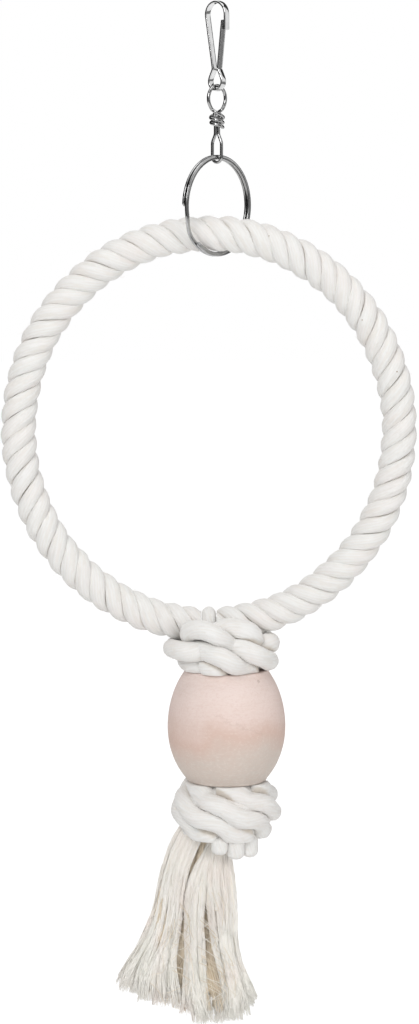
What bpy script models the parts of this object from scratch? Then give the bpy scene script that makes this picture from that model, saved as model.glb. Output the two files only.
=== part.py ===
"""Rope ring bird swing: a ring of laid cotton rope hung from a snap hook by a wire swivel and a
split ring, with a wooden bead and a frayed tassel knotted under it.

Metres, +Z up. The origin is the inner top of the snap hook, where it sits on a cage bar, and the
front faces -Y. The pieces hang below each other, so each height follows from the piece above.
"""

import math

import bmesh
import bpy
import numpy as np
from mathutils import Matrix, Vector

MM = 0.001
DOWN = Vector((0.0, 0.0, -1.0))

# Clearances
CLEARANCE = 0.3 * MM
TURN_GAP = 0.45 * MM
LINK_PLAY = 0.6 * MM
KNOT_GAP = 0.4 * MM

# Snap hook, bent from one flat strip
STRIP_THICKNESS = 1.0 * MM
STRIP_WIDTH = 3.0 * MM
HOOK_YAW = math.radians(42.0)
HOOK_RADIUS = 5.6 * MM
HOOK_DROP = 37.6 * MM
NOSE_LENGTH = 6.9 * MM
POCKET_RADIUS = 3.75 * MM
WAIST_RISE = 5.45 * MM
WAIST_HALF_WIDTH = 1.45 * MM
GATE_OVERLAP = 4.6 * MM
GATE_PLAY = 0.6 * MM

# Swivel: a wire eye whose ends wrap round a hairpin shank
EYE_WIRE = 1.5 * MM
EYE_RADIUS = 5.6 * MM
EYE_NECK = 6.9 * MM
WRAP_FLARE = 0.6 * MM
CROSSING_RISE = 2.0 * MM
CROSSING_TURN = 0.4
WRAP_GAP = 0.62 * MM
FRONT_WRAP_TURNS = 1.4
BACK_WRAP_TURNS = 1.15
SHANK_WIRE = 1.4 * MM
SHANK_PLAY = 0.25 * MM
SHANK_LENGTH = 21.25 * MM
SHANK_NECK = 8.2 * MM
SHANK_TIP_RISE = 0.9 * MM
SHANK_TIP_SPREAD = 0.55 * MM
SHANK_TIP_LENGTH = 2.6 * MM
SHANK_SHOULDER = 5.0 * MM
SHANK_STEPS = 8

# Split ring, two turns of flattened wire
SPLIT_RING_DIAMETER = 45.0 * MM
SPLIT_RING_YAW = math.radians(49.8)
SPLIT_WIRE_HEIGHT = 2.0 * MM
SPLIT_WIRE_DEPTH = 1.1 * MM
SPLIT_WIRE_CHAMFER = 0.4 * MM
SPLIT_CROSSING = math.radians(30.0)
SPLIT_END_GAP = math.radians(9.0)
SPLIT_CROSSING_AT = math.radians(204.0)

# Rope ring: three laid strands over a core wire, open at the bottom for the hitch strand
ROPE_DIAMETER = 16.0 * MM
ROPE_GROOVE_DEPTH = 1.9 * MM
RING_HALF_WIDTH = 85.4 * MM
RING_HALF_HEIGHT = 88.0 * MM
RING_SHIFT = -3.6 * MM
LAY_TURNS = 21
CORE_WIRE = 3.0 * MM

# Drop: the rope, strands and knots under the ring, with the lower knot's azimuths in degrees
STRAND_DIAMETER = 7.5 * MM
DROP_SHIFT = 8.0 * MM
DROP_ROPE_DIAMETER = 14.8 * MM
UPPER_KNOT_HEIGHT = 12.4 * MM
LOWER_KNOT_HEIGHT = 25.0 * MM
LOWER_KNOT_RADIUS = 22.7 * MM
LOWER_KNOT_DRAW_IN = 5.5 * MM
LOWER_KNOT_WAVE = 0.9 * MM
LOWER_KNOT_START = 218.0
LOWER_KNOT_STEEPEST = 215.0
LOWER_KNOT_STRANDS = 6
LOWER_KNOT_TUCK = 22.0
HITCH_DIAMETER = 6.2 * MM
HITCH_TAPER = 9.0 * MM

# Routes of the upper knot's strands, each point as the azimuth round the drop's axis in degrees (180
# left, 270 front, 360 right), the reach from that axis and the drop below the rope ring's line in mm
HITCH_BACK = ((80, 11.3, 12.0), (88, 13.0, 8.0), (95, 13.5, 3.0))
HITCH_FRONT = ((250, 13.0, 3.0), (269, 13.2, 3.2), (286, 14.8, 5.0), (299, 15.4, 8.0),
               (315, 13.4, 10.0), (330, 11.3, 10.5))
UPPER_STRAND_ROUTES = (
    ((195, 11.3, 12.0), (203, 16.5, 7.0), (211, 20.8, 2.4), (229, 21.4, 1.5), (245, 21.2, 3.2),
     (255, 19.1, 6.6), (263, 14.3, 9.6), (276, 11.7, 11.2), (292, 14.8, 12.0), (303, 19.8, 13.0),
     (318, 20.4, 14.6), (337, 19.6, 16.0), (360, 18.2, 16.3), (383, 15.2, 16.3), (398, 11.4, 16.3)),
    ((140, 11.3, 13.0), (160, 15.8, 11.4), (185, 20.0, 10.4), (208, 20.2, 10.1), (224, 18.2, 10.8),
     (233, 14.7, 11.4), (244, 12.7, 12.0), (262, 15.6, 11.6), (273, 19.0, 11.8), (283, 19.4, 14.2),
     (296, 16.2, 16.2), (315, 12.6, 16.3), (335, 11.4, 16.3)),
    ((345, 11.3, 11.0), (338, 15.2, 9.2), (345, 18.2, 8.8), (360, 18.6, 9.0), (380, 17.8, 8.0),
     (405, 17.5, 6.0), (435, 18.0, 6.5), (460, 18.5, 9.0), (490, 18.0, 13.0), (515, 17.4, 16.0),
     (540, 16.2, 16.3), (560, 15.8, 16.3), (576, 15.6, 16.3), (588, 14.8, 16.3), (600, 14.0, 16.3),
     (614, 16.5, 16.3), (628, 15.0, 16.3), (642, 12.0, 16.3)))

# Wooden bead, a turned barrel
BEAD_RADIUS = 26.7 * MM
BEAD_UPPER_HEIGHT = 26.3 * MM
BEAD_LOWER_HEIGHT = 24.6 * MM
BEAD_UPPER_RIM = 18.3 * MM
BEAD_LOWER_RIM = 17.3 * MM
BEAD_EDGE = 1.2 * MM

# Cut strand ends under the lower knot, as places round its middle
CUT_END_DIAMETER = 7.0 * MM
CUT_END_LENGTHS = (6.0 * MM, 8.2 * MM, 8.0 * MM)
CUT_END_AZIMUTHS = (math.radians(258.0), math.radians(287.0), math.radians(316.0))
CUT_END_INSET = 8.2 * MM

# Tassel, two rows of yarn locks that fan out to the left
TASSEL_ROOT_HALF_WIDTH = 14.0 * MM
TASSEL_ROOT_HALF_DEPTH = 6.2 * MM
TASSEL_ROOT_HEIGHT = 4.6 * MM
TASSEL_ROOT_CROWN = 2.1 * MM
LOCKS_PER_ROW = 4
LOCK_ROOT_DIAMETER = 6.8 * MM
LOCK_TIP_DIAMETER = 15.6 * MM
LOCK_SPACE = 0.6 * MM
LOCK_FLARE = 1.4
LOCK_LEAN = 0.7
TASSEL_ROOT_SHIFT = -10.4 * MM
TASSEL_TIP_SHIFT = -18.0 * MM
LOCK_LENGTHS = (66.6 * MM, 73.6 * MM, 78.6 * MM, 71.6 * MM)

# Facets
WIRE_SIDES = 8
STRAND_SIDES = 12
ROPE_SECTION_POINTS = 9
ROPE_STEPS_PER_LAY = 7
CORE_STEPS = 60
RING_STEPS = 36
BEAD_STEPS = 40
LOOP_STEPS = 24
LOCK_STEPS = 6
STRAND_STEP = 0.5
SETTLE_STEP = 0.25
SETTLE_ROUNDS = 600

# Heights, worked out from the top down
hook_arc_z = STRIP_THICKNESS / 2 - HOOK_RADIUS
pocket_z = -HOOK_DROP - STRIP_THICKNESS / 2 + POCKET_RADIUS
waist_z = pocket_z + WAIST_RISE
nose_z = hook_arc_z - NOSE_LENGTH
gate_tip_z = nose_z + GATE_OVERLAP
eye_z = -HOOK_DROP + LINK_PLAY + EYE_WIRE / 2 - EYE_RADIUS
crossing_z = eye_z - EYE_NECK
shank_bottom_z = crossing_z - SHANK_LENGTH
split_inner_radius = SPLIT_RING_DIAMETER / 2 - SPLIT_WIRE_HEIGHT
split_ring_z = shank_bottom_z + SHANK_WIRE / 2 + LINK_PLAY - split_inner_radius
rope_radius = ROPE_DIAMETER / 2
rope_top_z = split_ring_z - split_inner_radius + CLEARANCE + rope_radius
ring_z = rope_top_z - RING_HALF_HEIGHT
rope_bottom_z = ring_z - RING_HALF_HEIGHT
drop_x = RING_SHIFT + DROP_SHIFT
strand_radius = STRAND_DIAMETER / 2
drop_rope_radius = DROP_ROPE_DIAMETER / 2
drop_rope_top_z = rope_bottom_z - rope_radius - KNOT_GAP
bead_top_z = rope_bottom_z - rope_radius - UPPER_KNOT_HEIGHT
bead_z = bead_top_z - BEAD_UPPER_HEIGHT
bead_bottom_z = bead_z - BEAD_LOWER_HEIGHT
lower_knot_bottom_z = bead_bottom_z - CLEARANCE - LOWER_KNOT_HEIGHT
drop_rope_bottom_z = lower_knot_bottom_z
tassel_x = drop_x + TASSEL_ROOT_SHIFT
tassel_z = drop_rope_bottom_z - CLEARANCE
locks_top_z = tassel_z - TASSEL_ROOT_HEIGHT - 2 * LOCK_SPACE


def clear_scene():
    for item in list(bpy.data.objects):
        bpy.data.objects.remove(item)


def make_material(name, color, roughness, metallic):
    material = bpy.data.materials.new(name)
    material.use_nodes = True
    shader = material.node_tree.nodes["Principled BSDF"]
    shader.inputs["Base Color"].default_value = (*color, 1.0)
    shader.inputs["Roughness"].default_value = roughness
    shader.inputs["Metallic"].default_value = metallic
    return material


def make_pivot(name, place, parent=None):
    """An empty on a joint's axis, which carries the pieces that move with it."""
    pivot = bpy.data.objects.new(name, None)
    pivot["place"] = tuple(place)
    pivot.parent = parent
    pivot.location = Vector(place) - Vector(parent["place"] if parent else (0.0, 0.0, 0.0))
    bpy.context.collection.objects.link(pivot)
    return pivot


def add_object(name, data, pivot, material, place, yaw=0.0):
    """Links a piece whose own origin lies at a place in the world, and hangs it on a pivot."""
    item = bpy.data.objects.new(name, data)
    data.materials.append(material)
    item.parent = pivot
    item.location = Vector(place) - Vector(pivot["place"])
    item.rotation_euler = (0.0, 0.0, yaw)
    bpy.context.collection.objects.link(item)
    return item


def finish_mesh(name, bm, sharp_angle=math.radians(40.0)):
    bmesh.ops.recalc_face_normals(bm, faces=bm.faces)
    mesh = bpy.data.meshes.new(name)
    bm.to_mesh(mesh)
    bm.free()
    mesh.shade_smooth()
    mesh.set_sharp_from_angle(angle=sharp_angle)
    return mesh


def arc(center, radius, start, end, steps):
    """Points of an arc in a plane, as (across, up) pairs."""
    angles = [start + (end - start) * step / steps for step in range(steps + 1)]
    return [(center[0] + radius * math.cos(a), center[1] + radius * math.sin(a)) for a in angles]


def smooth_route(points, step):
    """A smooth curve through a route's own points, read off at an even step."""
    route = np.array([tuple(point) for point in points])
    padded = np.vstack([2 * route[0] - route[1], route, 2 * route[-1] - route[-2]])
    fine = []
    for before, start, end, after in zip(padded, padded[1:], padded[2:], padded[3:]):
        for t in np.linspace(0.0, 1.0, 16, endpoint=False):
            fine.append(0.5 * (2 * start + (end - before) * t
                               + (2 * before - 5 * start + 4 * end - after) * t**2
                               + (3 * start - before - 3 * end + after) * t**3))
    fine.append(route[-1])
    return even_steps(np.array(fine), step)


def even_steps(points, step):
    """The same line with its points an even step apart."""
    lengths = np.concatenate([[0.0], np.cumsum(np.linalg.norm(np.diff(points, axis=0), axis=1))])
    count = max(2, round(lengths[-1] / step) + 1)
    wanted = np.linspace(0.0, lengths[-1], count)
    return np.stack([np.interp(wanted, lengths, points[:, axis]) for axis in range(3)], axis=1)


def least_gap(points, thickness):
    """The least gap that a tube leaves to itself, apart from neighbouring points on one bend."""
    points = np.array([tuple(point) for point in points])
    lengths = np.concatenate([[0.0], np.cumsum(np.linalg.norm(np.diff(points, axis=0), axis=1))])
    apart = np.abs(lengths[:, None] - lengths[None]) > 2.5 * thickness
    distances = np.linalg.norm(points[:, None] - points[None], axis=2)
    return distances[apart].min() - thickness


def report_gap(name, points, thickness):
    print(f"{name}: least gap to itself {least_gap(points, thickness) / MM:.2f} mm")


def tube(name, points, diameter, place, sides=WIRE_SIDES, widths=None):
    """A capped round tube along points in the world, as a curve round a place."""
    curve = bpy.data.curves.new(name, "CURVE")
    curve.dimensions = "3D"
    curve.bevel_depth = diameter / 2
    curve.bevel_resolution = sides // 2 - 2
    curve.use_fill_caps = True
    spline = curve.splines.new("POLY")
    spline.points.add(len(points) - 1)
    spline.use_smooth = True
    for index, point in enumerate(points):
        spline.points[index].co = (*(Vector(point) - Vector(place)), 1.0)
        spline.points[index].radius = widths[index] / diameter if widths else 1.0
    return curve


def turned(name, profile, steps):
    """A solid of revolution round Z. The profile is a closed loop of (radius, height) pairs."""
    bm = bmesh.new()
    verts = [bm.verts.new((radius, 0.0, height)) for radius, height in profile]
    edges = [bm.edges.new((a, b)) for a, b in zip(verts, verts[1:] + verts[:1])]
    bmesh.ops.spin(bm, geom=verts + edges, axis=(0, 0, 1), cent=(0, 0, 0), steps=steps,
                   angle=2 * math.pi, use_merge=True)
    bmesh.ops.remove_doubles(bm, verts=bm.verts, dist=0.001 * MM)
    bmesh.ops.dissolve_degenerate(bm, edges=bm.edges, dist=0.001 * MM)
    return finish_mesh(name, bm)


def loft(bm, loops, closed=False):
    """Joins loops of the same count into a skin, and gives back the loops of vertices."""
    rings = [[bm.verts.new(point) for point in loop] for loop in loops]
    pairs = list(zip(rings, rings[1:]))
    if closed:
        pairs.append((rings[-1], rings[0]))
    for ring, following in pairs:
        join_rings(bm, ring, following)
    return rings


def join_rings(bm, ring, following):
    for index in range(len(ring)):
        after = (index + 1) % len(ring)
        bm.faces.new((ring[index], ring[after], following[after], following[index]))


def strip(name, path, thickness, width):
    """A flat strip bent along an (across, up) path, with its width along Y."""
    points = [Vector((x, z)) for x, z in path]
    sides = ([], [])
    for index, point in enumerate(points):
        before = (point - points[index - 1]).normalized() if index else None
        after = (points[index + 1] - point).normalized() if index < len(points) - 1 else None
        along = ((before or after) + (after or before)).normalized()
        square = Vector((-along.y, along.x))
        half = thickness / 2 / max(0.7, along.dot(after or before))
        sides[0].append(point + square * half)
        sides[1].append(point - square * half)
    bm = bmesh.new()
    loops = [[Vector((a.x, -width / 2, a.y)), Vector((a.x, width / 2, a.y)),
              Vector((b.x, width / 2, b.y)), Vector((b.x, -width / 2, b.y))]
             for a, b in zip(*sides)]
    rings = loft(bm, loops)
    bm.faces.new(rings[0])
    bm.faces.new(rings[-1])
    return finish_mesh(name, bm)


def settle(routes, pinned, spacing, push_out):
    """Pushes strands apart until they clear each other and the solids round them.

    Each route is a line of points, pinned says which of its points stay put, and push_out moves a
    point that lies inside a neighbouring solid to its surface. The shifts are eased along each
    strand, so that it bends smoothly.
    """
    counts = [len(route) for route in routes]
    points = np.vstack(routes)
    fixed = np.concatenate(pinned)
    home = points.copy()
    strand = np.repeat(np.arange(len(routes)), counts)
    order = np.arange(len(points))
    along = np.abs(order[:, None] - order[None]) * spacing * SETTLE_STEP
    apart = (strand[:, None] != strand[None]) | (along > 2.5 * spacing)
    inner = (strand[:-2] == strand[1:-1]) & (strand[1:-1] == strand[2:])
    for turn in range(SETTLE_ROUNDS):
        easing = 0.5 if turn < SETTLE_ROUNDS / 2 else 0.05
        shift = points - home
        shift[1:-1] += easing * ((shift[:-2] + shift[2:]) / 2 - shift[1:-1]) * inner[:, None]
        points = home + shift
        between = points[:, None] - points[None]
        distance = np.linalg.norm(between, axis=2) + 1e-9
        short = np.where(apart & (distance < spacing), spacing - distance, 0.0)
        crowd = np.maximum(1.0, (short > 0).sum(axis=1))
        points += (between * (short / distance / 2)[..., None]).sum(axis=1) / crowd[:, None] * 1.5
        points = push_out(points)
        points[fixed] = home[fixed]
    return np.split(points, np.cumsum(counts)[:-1])


def push_from_axis(points, x, radius, low, high):
    """Moves points out of an upright cylinder round (x, 0) between two heights."""
    offset = points[:, :2] - (x, 0.0)
    reach = np.linalg.norm(offset, axis=1) + 1e-9
    inside = (reach < radius) & (points[:, 2] > low) & (points[:, 2] < high)
    scale = np.where(inside, radius / reach, 1.0)
    points[:, :2] = offset * scale[:, None] + (x, 0.0)
    return points


def push_from_rope_ring(points, radius):
    """Moves points out of the tube of the rope ring."""
    angle = np.arctan2((points[:, 0] - RING_SHIFT) / RING_HALF_WIDTH,
                       -(points[:, 2] - ring_z) / RING_HALF_HEIGHT)
    line = np.stack([RING_SHIFT + RING_HALF_WIDTH * np.sin(angle), np.zeros_like(angle),
                     ring_z - RING_HALF_HEIGHT * np.cos(angle)], axis=1)
    offset = points - line
    reach = np.linalg.norm(offset, axis=1) + 1e-9
    scale = np.maximum(1.0, radius / reach)
    return line + offset * scale[:, None]


# Snap hook and gate

def hook_waist(side):
    return (side * WAIST_HALF_WIDTH, waist_z)


def make_hook(pivot, metal):
    tangent = (math.atan2(WAIST_RISE, WAIST_HALF_WIDTH)
               - math.acos(POCKET_RADIUS / math.hypot(WAIST_RISE, WAIST_HALF_WIDTH)))
    path = [(HOOK_RADIUS, nose_z)]
    path += arc((0.0, hook_arc_z), HOOK_RADIUS, 0.0, math.pi, LOOP_STEPS // 2)
    path.append(hook_waist(-1))
    path += arc((0.0, pocket_z), POCKET_RADIUS, math.pi - tangent, 2 * math.pi + tangent,
                LOOP_STEPS // 2)
    path.append(hook_waist(1))
    mesh = strip("snap_hook_body", path, STRIP_THICKNESS, STRIP_WIDTH)
    add_object("snap_hook_body", mesh, pivot, metal, (0.0, 0.0, 0.0), -HOOK_YAW)


def make_gate(pivot, metal):
    """The sprung arm, from the waist up to its tip behind the nose."""
    root = Vector(hook_waist(1))
    tip = Vector((HOOK_RADIUS - STRIP_THICKNESS - GATE_PLAY, gate_tip_z))
    start = root + (tip - root).normalized() * (CLEARANCE + STRIP_THICKNESS / 2)
    path = [tuple(start - root), tuple(tip - root)]
    mesh = strip("snap_hook_gate", path, STRIP_THICKNESS, STRIP_WIDTH)
    add_object("snap_hook_gate", mesh, pivot, metal, pivot["place"], -HOOK_YAW)


# Swivel

shank_half = (SHANK_WIRE + TURN_GAP) / 2
wrap_radius = shank_half + SHANK_WIRE / 2 + SHANK_PLAY + EYE_WIRE / 2
wrap_pitch = 2 * (EYE_WIRE + WRAP_GAP)


def wrap_points(start_angle, turns):
    """One end of the eye's wire, winding down round the shank from the crossing."""
    steps = round(turns * LOOP_STEPS / 2)
    points = []
    for step in range(1, steps + 1):
        turn = turns * step / steps
        radius = wrap_radius + WRAP_FLARE * max(0.0, 1.0 - 2.0 * turn)
        angle = start_angle + 2 * math.pi * turn
        rise = CROSSING_RISE * max(0.0, 1.0 - turn / CROSSING_TURN) ** 2
        height = crossing_z - wrap_pitch * turn + rise
        points.append((radius * math.cos(angle), radius * math.sin(angle), height))
    return points


def make_eye(pivot, metal):
    side = wrap_radius + WRAP_FLARE
    low = math.radians(35.0)
    loop = [(x, 0.0, z) for x, z in arc((0.0, eye_z), EYE_RADIUS, -low, math.pi + low, LOOP_STEPS // 2)]
    route = wrap_points(math.pi, FRONT_WRAP_TURNS)[::-1]
    top_z = crossing_z + CROSSING_RISE
    route += [(-side, 0.0, top_z)] + loop[::-1] + [(side, 0.0, top_z)]
    route += wrap_points(0.0, BACK_WRAP_TURNS)
    points = smooth_route(route, EYE_WIRE)
    report_gap("swivel_eye", points, EYE_WIRE)
    data = tube("swivel_eye", points, EYE_WIRE, (0.0, 0.0, eye_z))
    add_object("swivel_eye", data, pivot, metal, (0.0, 0.0, eye_z), math.pi / 2 - HOOK_YAW)


def ease(share):
    """A smooth step from 0 to 1."""
    share = min(1.0, max(0.0, share))
    return share * share * (3 - 2 * share)


def make_shank(pivot, metal):
    """A hairpin whose spread tips sit over the wraps and whose loop holds the split ring."""
    loop_half = split_depth() / 2 + LINK_PLAY + SHANK_WIRE / 2
    loop_z = shank_bottom_z + loop_half
    tip_z = crossing_z + SHANK_TIP_RISE
    neck_z = crossing_z - SHANK_NECK
    leg = []
    for bottom, top in ((tip_z - SHANK_TIP_LENGTH, tip_z), (neck_z, tip_z - SHANK_TIP_LENGTH),
                        (neck_z - SHANK_SHOULDER, neck_z), (loop_z, neck_z - SHANK_SHOULDER)):
        for step in range(SHANK_STEPS):
            height = top + (bottom - top) * step / SHANK_STEPS
            spread = SHANK_TIP_SPREAD * ease((height - tip_z) / SHANK_TIP_LENGTH + 1)
            widening = (loop_half - shank_half) * ease((neck_z - height) / SHANK_SHOULDER)
            leg.append((shank_half + spread + widening, 0.0, height))
    bend = [(x, 0.0, z) for x, z in arc((0.0, loop_z), loop_half, 0.0, -math.pi, LOOP_STEPS // 2)]
    route = np.array(leg + bend + [(-x, y, z) for x, y, z in leg[::-1]])
    points = even_steps(route, SHANK_WIRE * 0.8)
    report_gap("swivel_shank", points, SHANK_WIRE)
    data = tube("swivel_shank", points, SHANK_WIRE, (0.0, 0.0, crossing_z))
    add_object("swivel_shank", data, pivot, metal, (0.0, 0.0, crossing_z), SPLIT_RING_YAW - math.pi / 2)


# Split ring

def split_depth():
    return 2 * SPLIT_WIRE_DEPTH + TURN_GAP


def make_split_ring(pivot, metal):
    """Two turns side by side, with one short crossing from the first to the second."""
    pitch = SPLIT_WIRE_DEPTH + TURN_GAP
    middle = split_inner_radius + SPLIT_WIRE_HEIGHT / 2
    start = SPLIT_END_GAP
    end = 4 * math.pi - SPLIT_CROSSING - SPLIT_END_GAP
    steps = round(RING_STEPS * (end - start) / (2 * math.pi))
    angles = [start + (end - start) * step / steps for step in range(steps + 1)]
    half_height, half_depth = SPLIT_WIRE_HEIGHT / 2, SPLIT_WIRE_DEPTH / 2
    cut = SPLIT_WIRE_CHAMFER
    section = [(half_height - cut, -half_depth), (half_height, cut - half_depth),
               (half_height, half_depth - cut), (half_height - cut, half_depth),
               (cut - half_height, half_depth), (-half_height, half_depth - cut),
               (-half_height, cut - half_depth), (cut - half_height, -half_depth)]
    loops, line = [], []
    for angle in angles:
        shift = pitch * (ease((angle - 2 * math.pi) / SPLIT_CROSSING + 1) - 0.5)
        around = angle + SPLIT_CROSSING_AT + SPLIT_CROSSING / 2
        out = Vector((math.cos(around), 0.0, math.sin(around)))
        line.append(out * middle + Vector((0.0, shift, 0.0)))
        loops.append([out * (middle + up) + Vector((0.0, shift + aside, 0.0)) for up, aside in section])
    report_gap("split_ring", line, SPLIT_WIRE_DEPTH)
    bm = bmesh.new()
    rings = loft(bm, loops)
    bm.faces.new(rings[0])
    bm.faces.new(rings[-1])
    mesh = finish_mesh("split_ring", bm)
    add_object("split_ring", mesh, pivot, metal, (0.0, 0.0, split_ring_z), SPLIT_RING_YAW)


# Rope ring

def ring_frame(turn):
    """Centre and outward direction of the ring's line, by turns from its lowest point."""
    angle = 2 * math.pi * turn
    center = Vector((RING_HALF_WIDTH * math.sin(angle), 0.0, -RING_HALF_HEIGHT * math.cos(angle)))
    out = Vector((math.sin(angle) / RING_HALF_WIDTH, 0.0, -math.cos(angle) / RING_HALF_HEIGHT))
    return center, out.normalized()


def ring_section(turn, radius, groove=0.0, lay_turns=0):
    """A section of the ring, with a groove at every third point that turns with the lay."""
    center, out = ring_frame(turn)
    back = Vector((0.0, 1.0, 0.0))
    loop = []
    for index in range(ROPE_SECTION_POINTS):
        angle = 2 * math.pi * (lay_turns * turn + index / ROPE_SECTION_POINTS)
        reach = radius - groove if index % 3 == 0 else radius
        loop.append(center + (out * math.cos(angle) + back * math.sin(angle)) * reach)
    return loop


def make_ring_rope(pivot, cotton):
    gap = (HITCH_DIAMETER / 2 + KNOT_GAP) / (2 * math.pi * RING_HALF_WIDTH)
    steps = LAY_TURNS * ROPE_STEPS_PER_LAY
    turns = [gap + (1 - 2 * gap) * step / steps for step in range(steps + 1)]
    bore_radius = (CORE_WIRE / 2 + CLEARANCE) / math.cos(math.pi / ROPE_SECTION_POINTS)
    bore_turns = [gap + (1 - 2 * gap) * step / CORE_STEPS for step in range(CORE_STEPS + 1)]
    bm = bmesh.new()
    outer = loft(bm, [ring_section(turn, rope_radius, ROPE_GROOVE_DEPTH, LAY_TURNS) for turn in turns])
    inner = loft(bm, [ring_section(turn, bore_radius) for turn in bore_turns])
    join_rings(bm, outer[0], inner[0])
    join_rings(bm, outer[-1], inner[-1])
    mesh = finish_mesh("ring_rope", bm)
    add_object("ring_rope", mesh, pivot, cotton, (RING_SHIFT, 0.0, ring_z))


def make_ring_core(pivot, metal):
    bm = bmesh.new()
    turns = [step / CORE_STEPS for step in range(CORE_STEPS)]
    loft(bm, [ring_section(turn, CORE_WIRE / 2) for turn in turns], closed=True)
    mesh = finish_mesh("ring_core_wire", bm)
    add_object("ring_core_wire", mesh, pivot, metal, (RING_SHIFT, 0.0, ring_z))


# Upper knot

def round_drop(azimuth, radius, height):
    """A point round the drop's axis: 180 degrees is left, 270 front and 0 right."""
    angle = math.radians(azimuth)
    return (drop_x + radius * math.cos(angle), radius * math.sin(angle), height)


def hitch_point(angle, radius):
    """A point round the core wire where the hitch strand crosses it: 0 is on top, 90 in front."""
    turn = math.radians(angle)
    return (RING_SHIFT, -radius * math.sin(turn), rope_bottom_z + radius * math.cos(turn))


def knot_points(route):
    return [round_drop(azimuth, reach * MM, rope_bottom_z - drop * MM) for azimuth, reach, drop in route]


def hitch_route():
    """The strand that goes over the ring's core wire and down in front of it and behind it."""
    over = CORE_WIRE / 2 + 2 * CLEARANCE + HITCH_DIAMETER / 2
    past = rope_radius + KNOT_GAP + strand_radius
    front = [hitch_point(angle, over) for angle in (30, 60, 90)]
    front += [hitch_point(100, (over + past) / 2), hitch_point(104, past)]
    back = [(x, -y, z) for x, y, z in front[::-1]]
    return knot_points(HITCH_BACK) + back + [hitch_point(0, over)] + front + knot_points(HITCH_FRONT)


def make_upper_knot(pivot, cotton):
    step = STRAND_DIAMETER * SETTLE_STEP
    routes = [smooth_route(hitch_route(), step)]
    routes += [smooth_route(knot_points(route), step) for route in UPPER_STRAND_ROUTES]
    pinned = [np.zeros(len(route), bool) for route in routes]
    from_core = np.hypot(routes[0][:, 1], routes[0][:, 2] - rope_bottom_z)
    over_ring = np.abs(routes[0][:, 0] - RING_SHIFT) < CLEARANCE
    pinned[0] = over_ring & (from_core < rope_radius + strand_radius)

    def push_out(points):
        free = np.abs(points[:, 0] - RING_SHIFT) > CLEARANCE
        clear = push_from_rope_ring(points, rope_radius + strand_radius + KNOT_GAP)
        points = np.where(free[:, None], clear, points)
        points = push_from_axis(points, drop_x, drop_rope_radius + strand_radius + CLEARANCE,
                                bead_top_z, drop_rope_top_z + strand_radius)
        lowest = bead_top_z + CLEARANCE + strand_radius
        points[:, 2] = np.maximum(points[:, 2], lowest)
        return points

    settled = settle(routes, pinned, STRAND_DIAMETER + KNOT_GAP, push_out)
    names = ["upper_knot_hitch"]
    names += [f"upper_knot_strand_{index + 1}" for index in range(len(UPPER_STRAND_ROUTES))]
    add_strands(names[1:], settled[1:], pivot, cotton)
    add_strands(names[:1], settled[:1], pivot, cotton, hitch_width)


def hitch_width(point):
    """The hitch strand's width: drawn thin over the core wire, and full in the knot."""
    reach = (Vector(point) - Vector((RING_SHIFT, 0.0, rope_bottom_z))).length
    return HITCH_DIAMETER + (STRAND_DIAMETER - HITCH_DIAMETER) * ease((reach - rope_radius) / HITCH_TAPER)


def add_strands(names, lines, pivot, cotton, width=None):
    for name, line in zip(names, lines):
        points = even_steps(line, STRAND_DIAMETER * STRAND_STEP)
        report_gap(name, points, STRAND_DIAMETER)
        widths = [width(point) for point in points] if width else None
        data = tube(name, points, STRAND_DIAMETER, pivot["place"], STRAND_SIDES, widths)
        add_object(name, data, pivot, cotton, pivot["place"])


# Bead

def bead_side(steps):
    """The barrel's side from the upper rim to the lower one, as two quarter ellipses cut short."""
    points = []
    halves = ((BEAD_UPPER_RIM, BEAD_UPPER_HEIGHT, 1), (BEAD_LOWER_RIM, BEAD_LOWER_HEIGHT, -1))
    for rim, height, sign in halves:
        full = height / math.sqrt(1 - (rim / BEAD_RADIUS) ** 2)
        heights = [(height - BEAD_EDGE) * step / steps for step in range(steps + 1)]
        half = [(BEAD_RADIUS * math.sqrt(1 - (h / full) ** 2), sign * h) for h in heights]
        points += half[::-1] if sign > 0 else half[1:]
    return points


def make_bead(pivot, wood):
    bore = (drop_rope_radius + CLEARANCE) / math.cos(math.pi / BEAD_STEPS)
    profile = [(bore, BEAD_UPPER_HEIGHT), (bore, -BEAD_LOWER_HEIGHT),
               (BEAD_LOWER_RIM - BEAD_EDGE, -BEAD_LOWER_HEIGHT)]
    profile += bead_side(6)[::-1]
    profile.append((BEAD_UPPER_RIM - BEAD_EDGE, BEAD_UPPER_HEIGHT))
    mesh = turned("wooden_bead", profile, BEAD_STEPS)
    add_object("wooden_bead", mesh, pivot, wood, (drop_x, 0.0, bead_z))


# Drop rope and lower knot

def make_drop_rope(pivot, cotton):
    length = drop_rope_top_z - drop_rope_bottom_z
    bm = bmesh.new()
    bmesh.ops.create_cone(bm, cap_ends=True, segments=LOOP_STEPS, radius1=drop_rope_radius,
                          radius2=drop_rope_radius, depth=length)
    mesh = finish_mesh("drop_rope", bm)
    add_object("drop_rope", mesh, pivot, cotton, (drop_x, 0.0, (drop_rope_top_z + drop_rope_bottom_z) / 2))


def lower_knot_heights():
    """The strands' highest and lowest lines in the lower knot."""
    return (bead_bottom_z - CLEARANCE - strand_radius, lower_knot_bottom_z + strand_radius)


def lower_core_reach():
    """The core's radius, clear of the strands at its upper and lower edges."""
    top, bottom = lower_knot_heights()
    share = (strand_radius + KNOT_GAP) / (top - bottom)
    draw_in = LOWER_KNOT_DRAW_IN * (1 - 2 * share) ** 2
    return LOWER_KNOT_RADIUS - draw_in - STRAND_DIAMETER - KNOT_GAP


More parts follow.
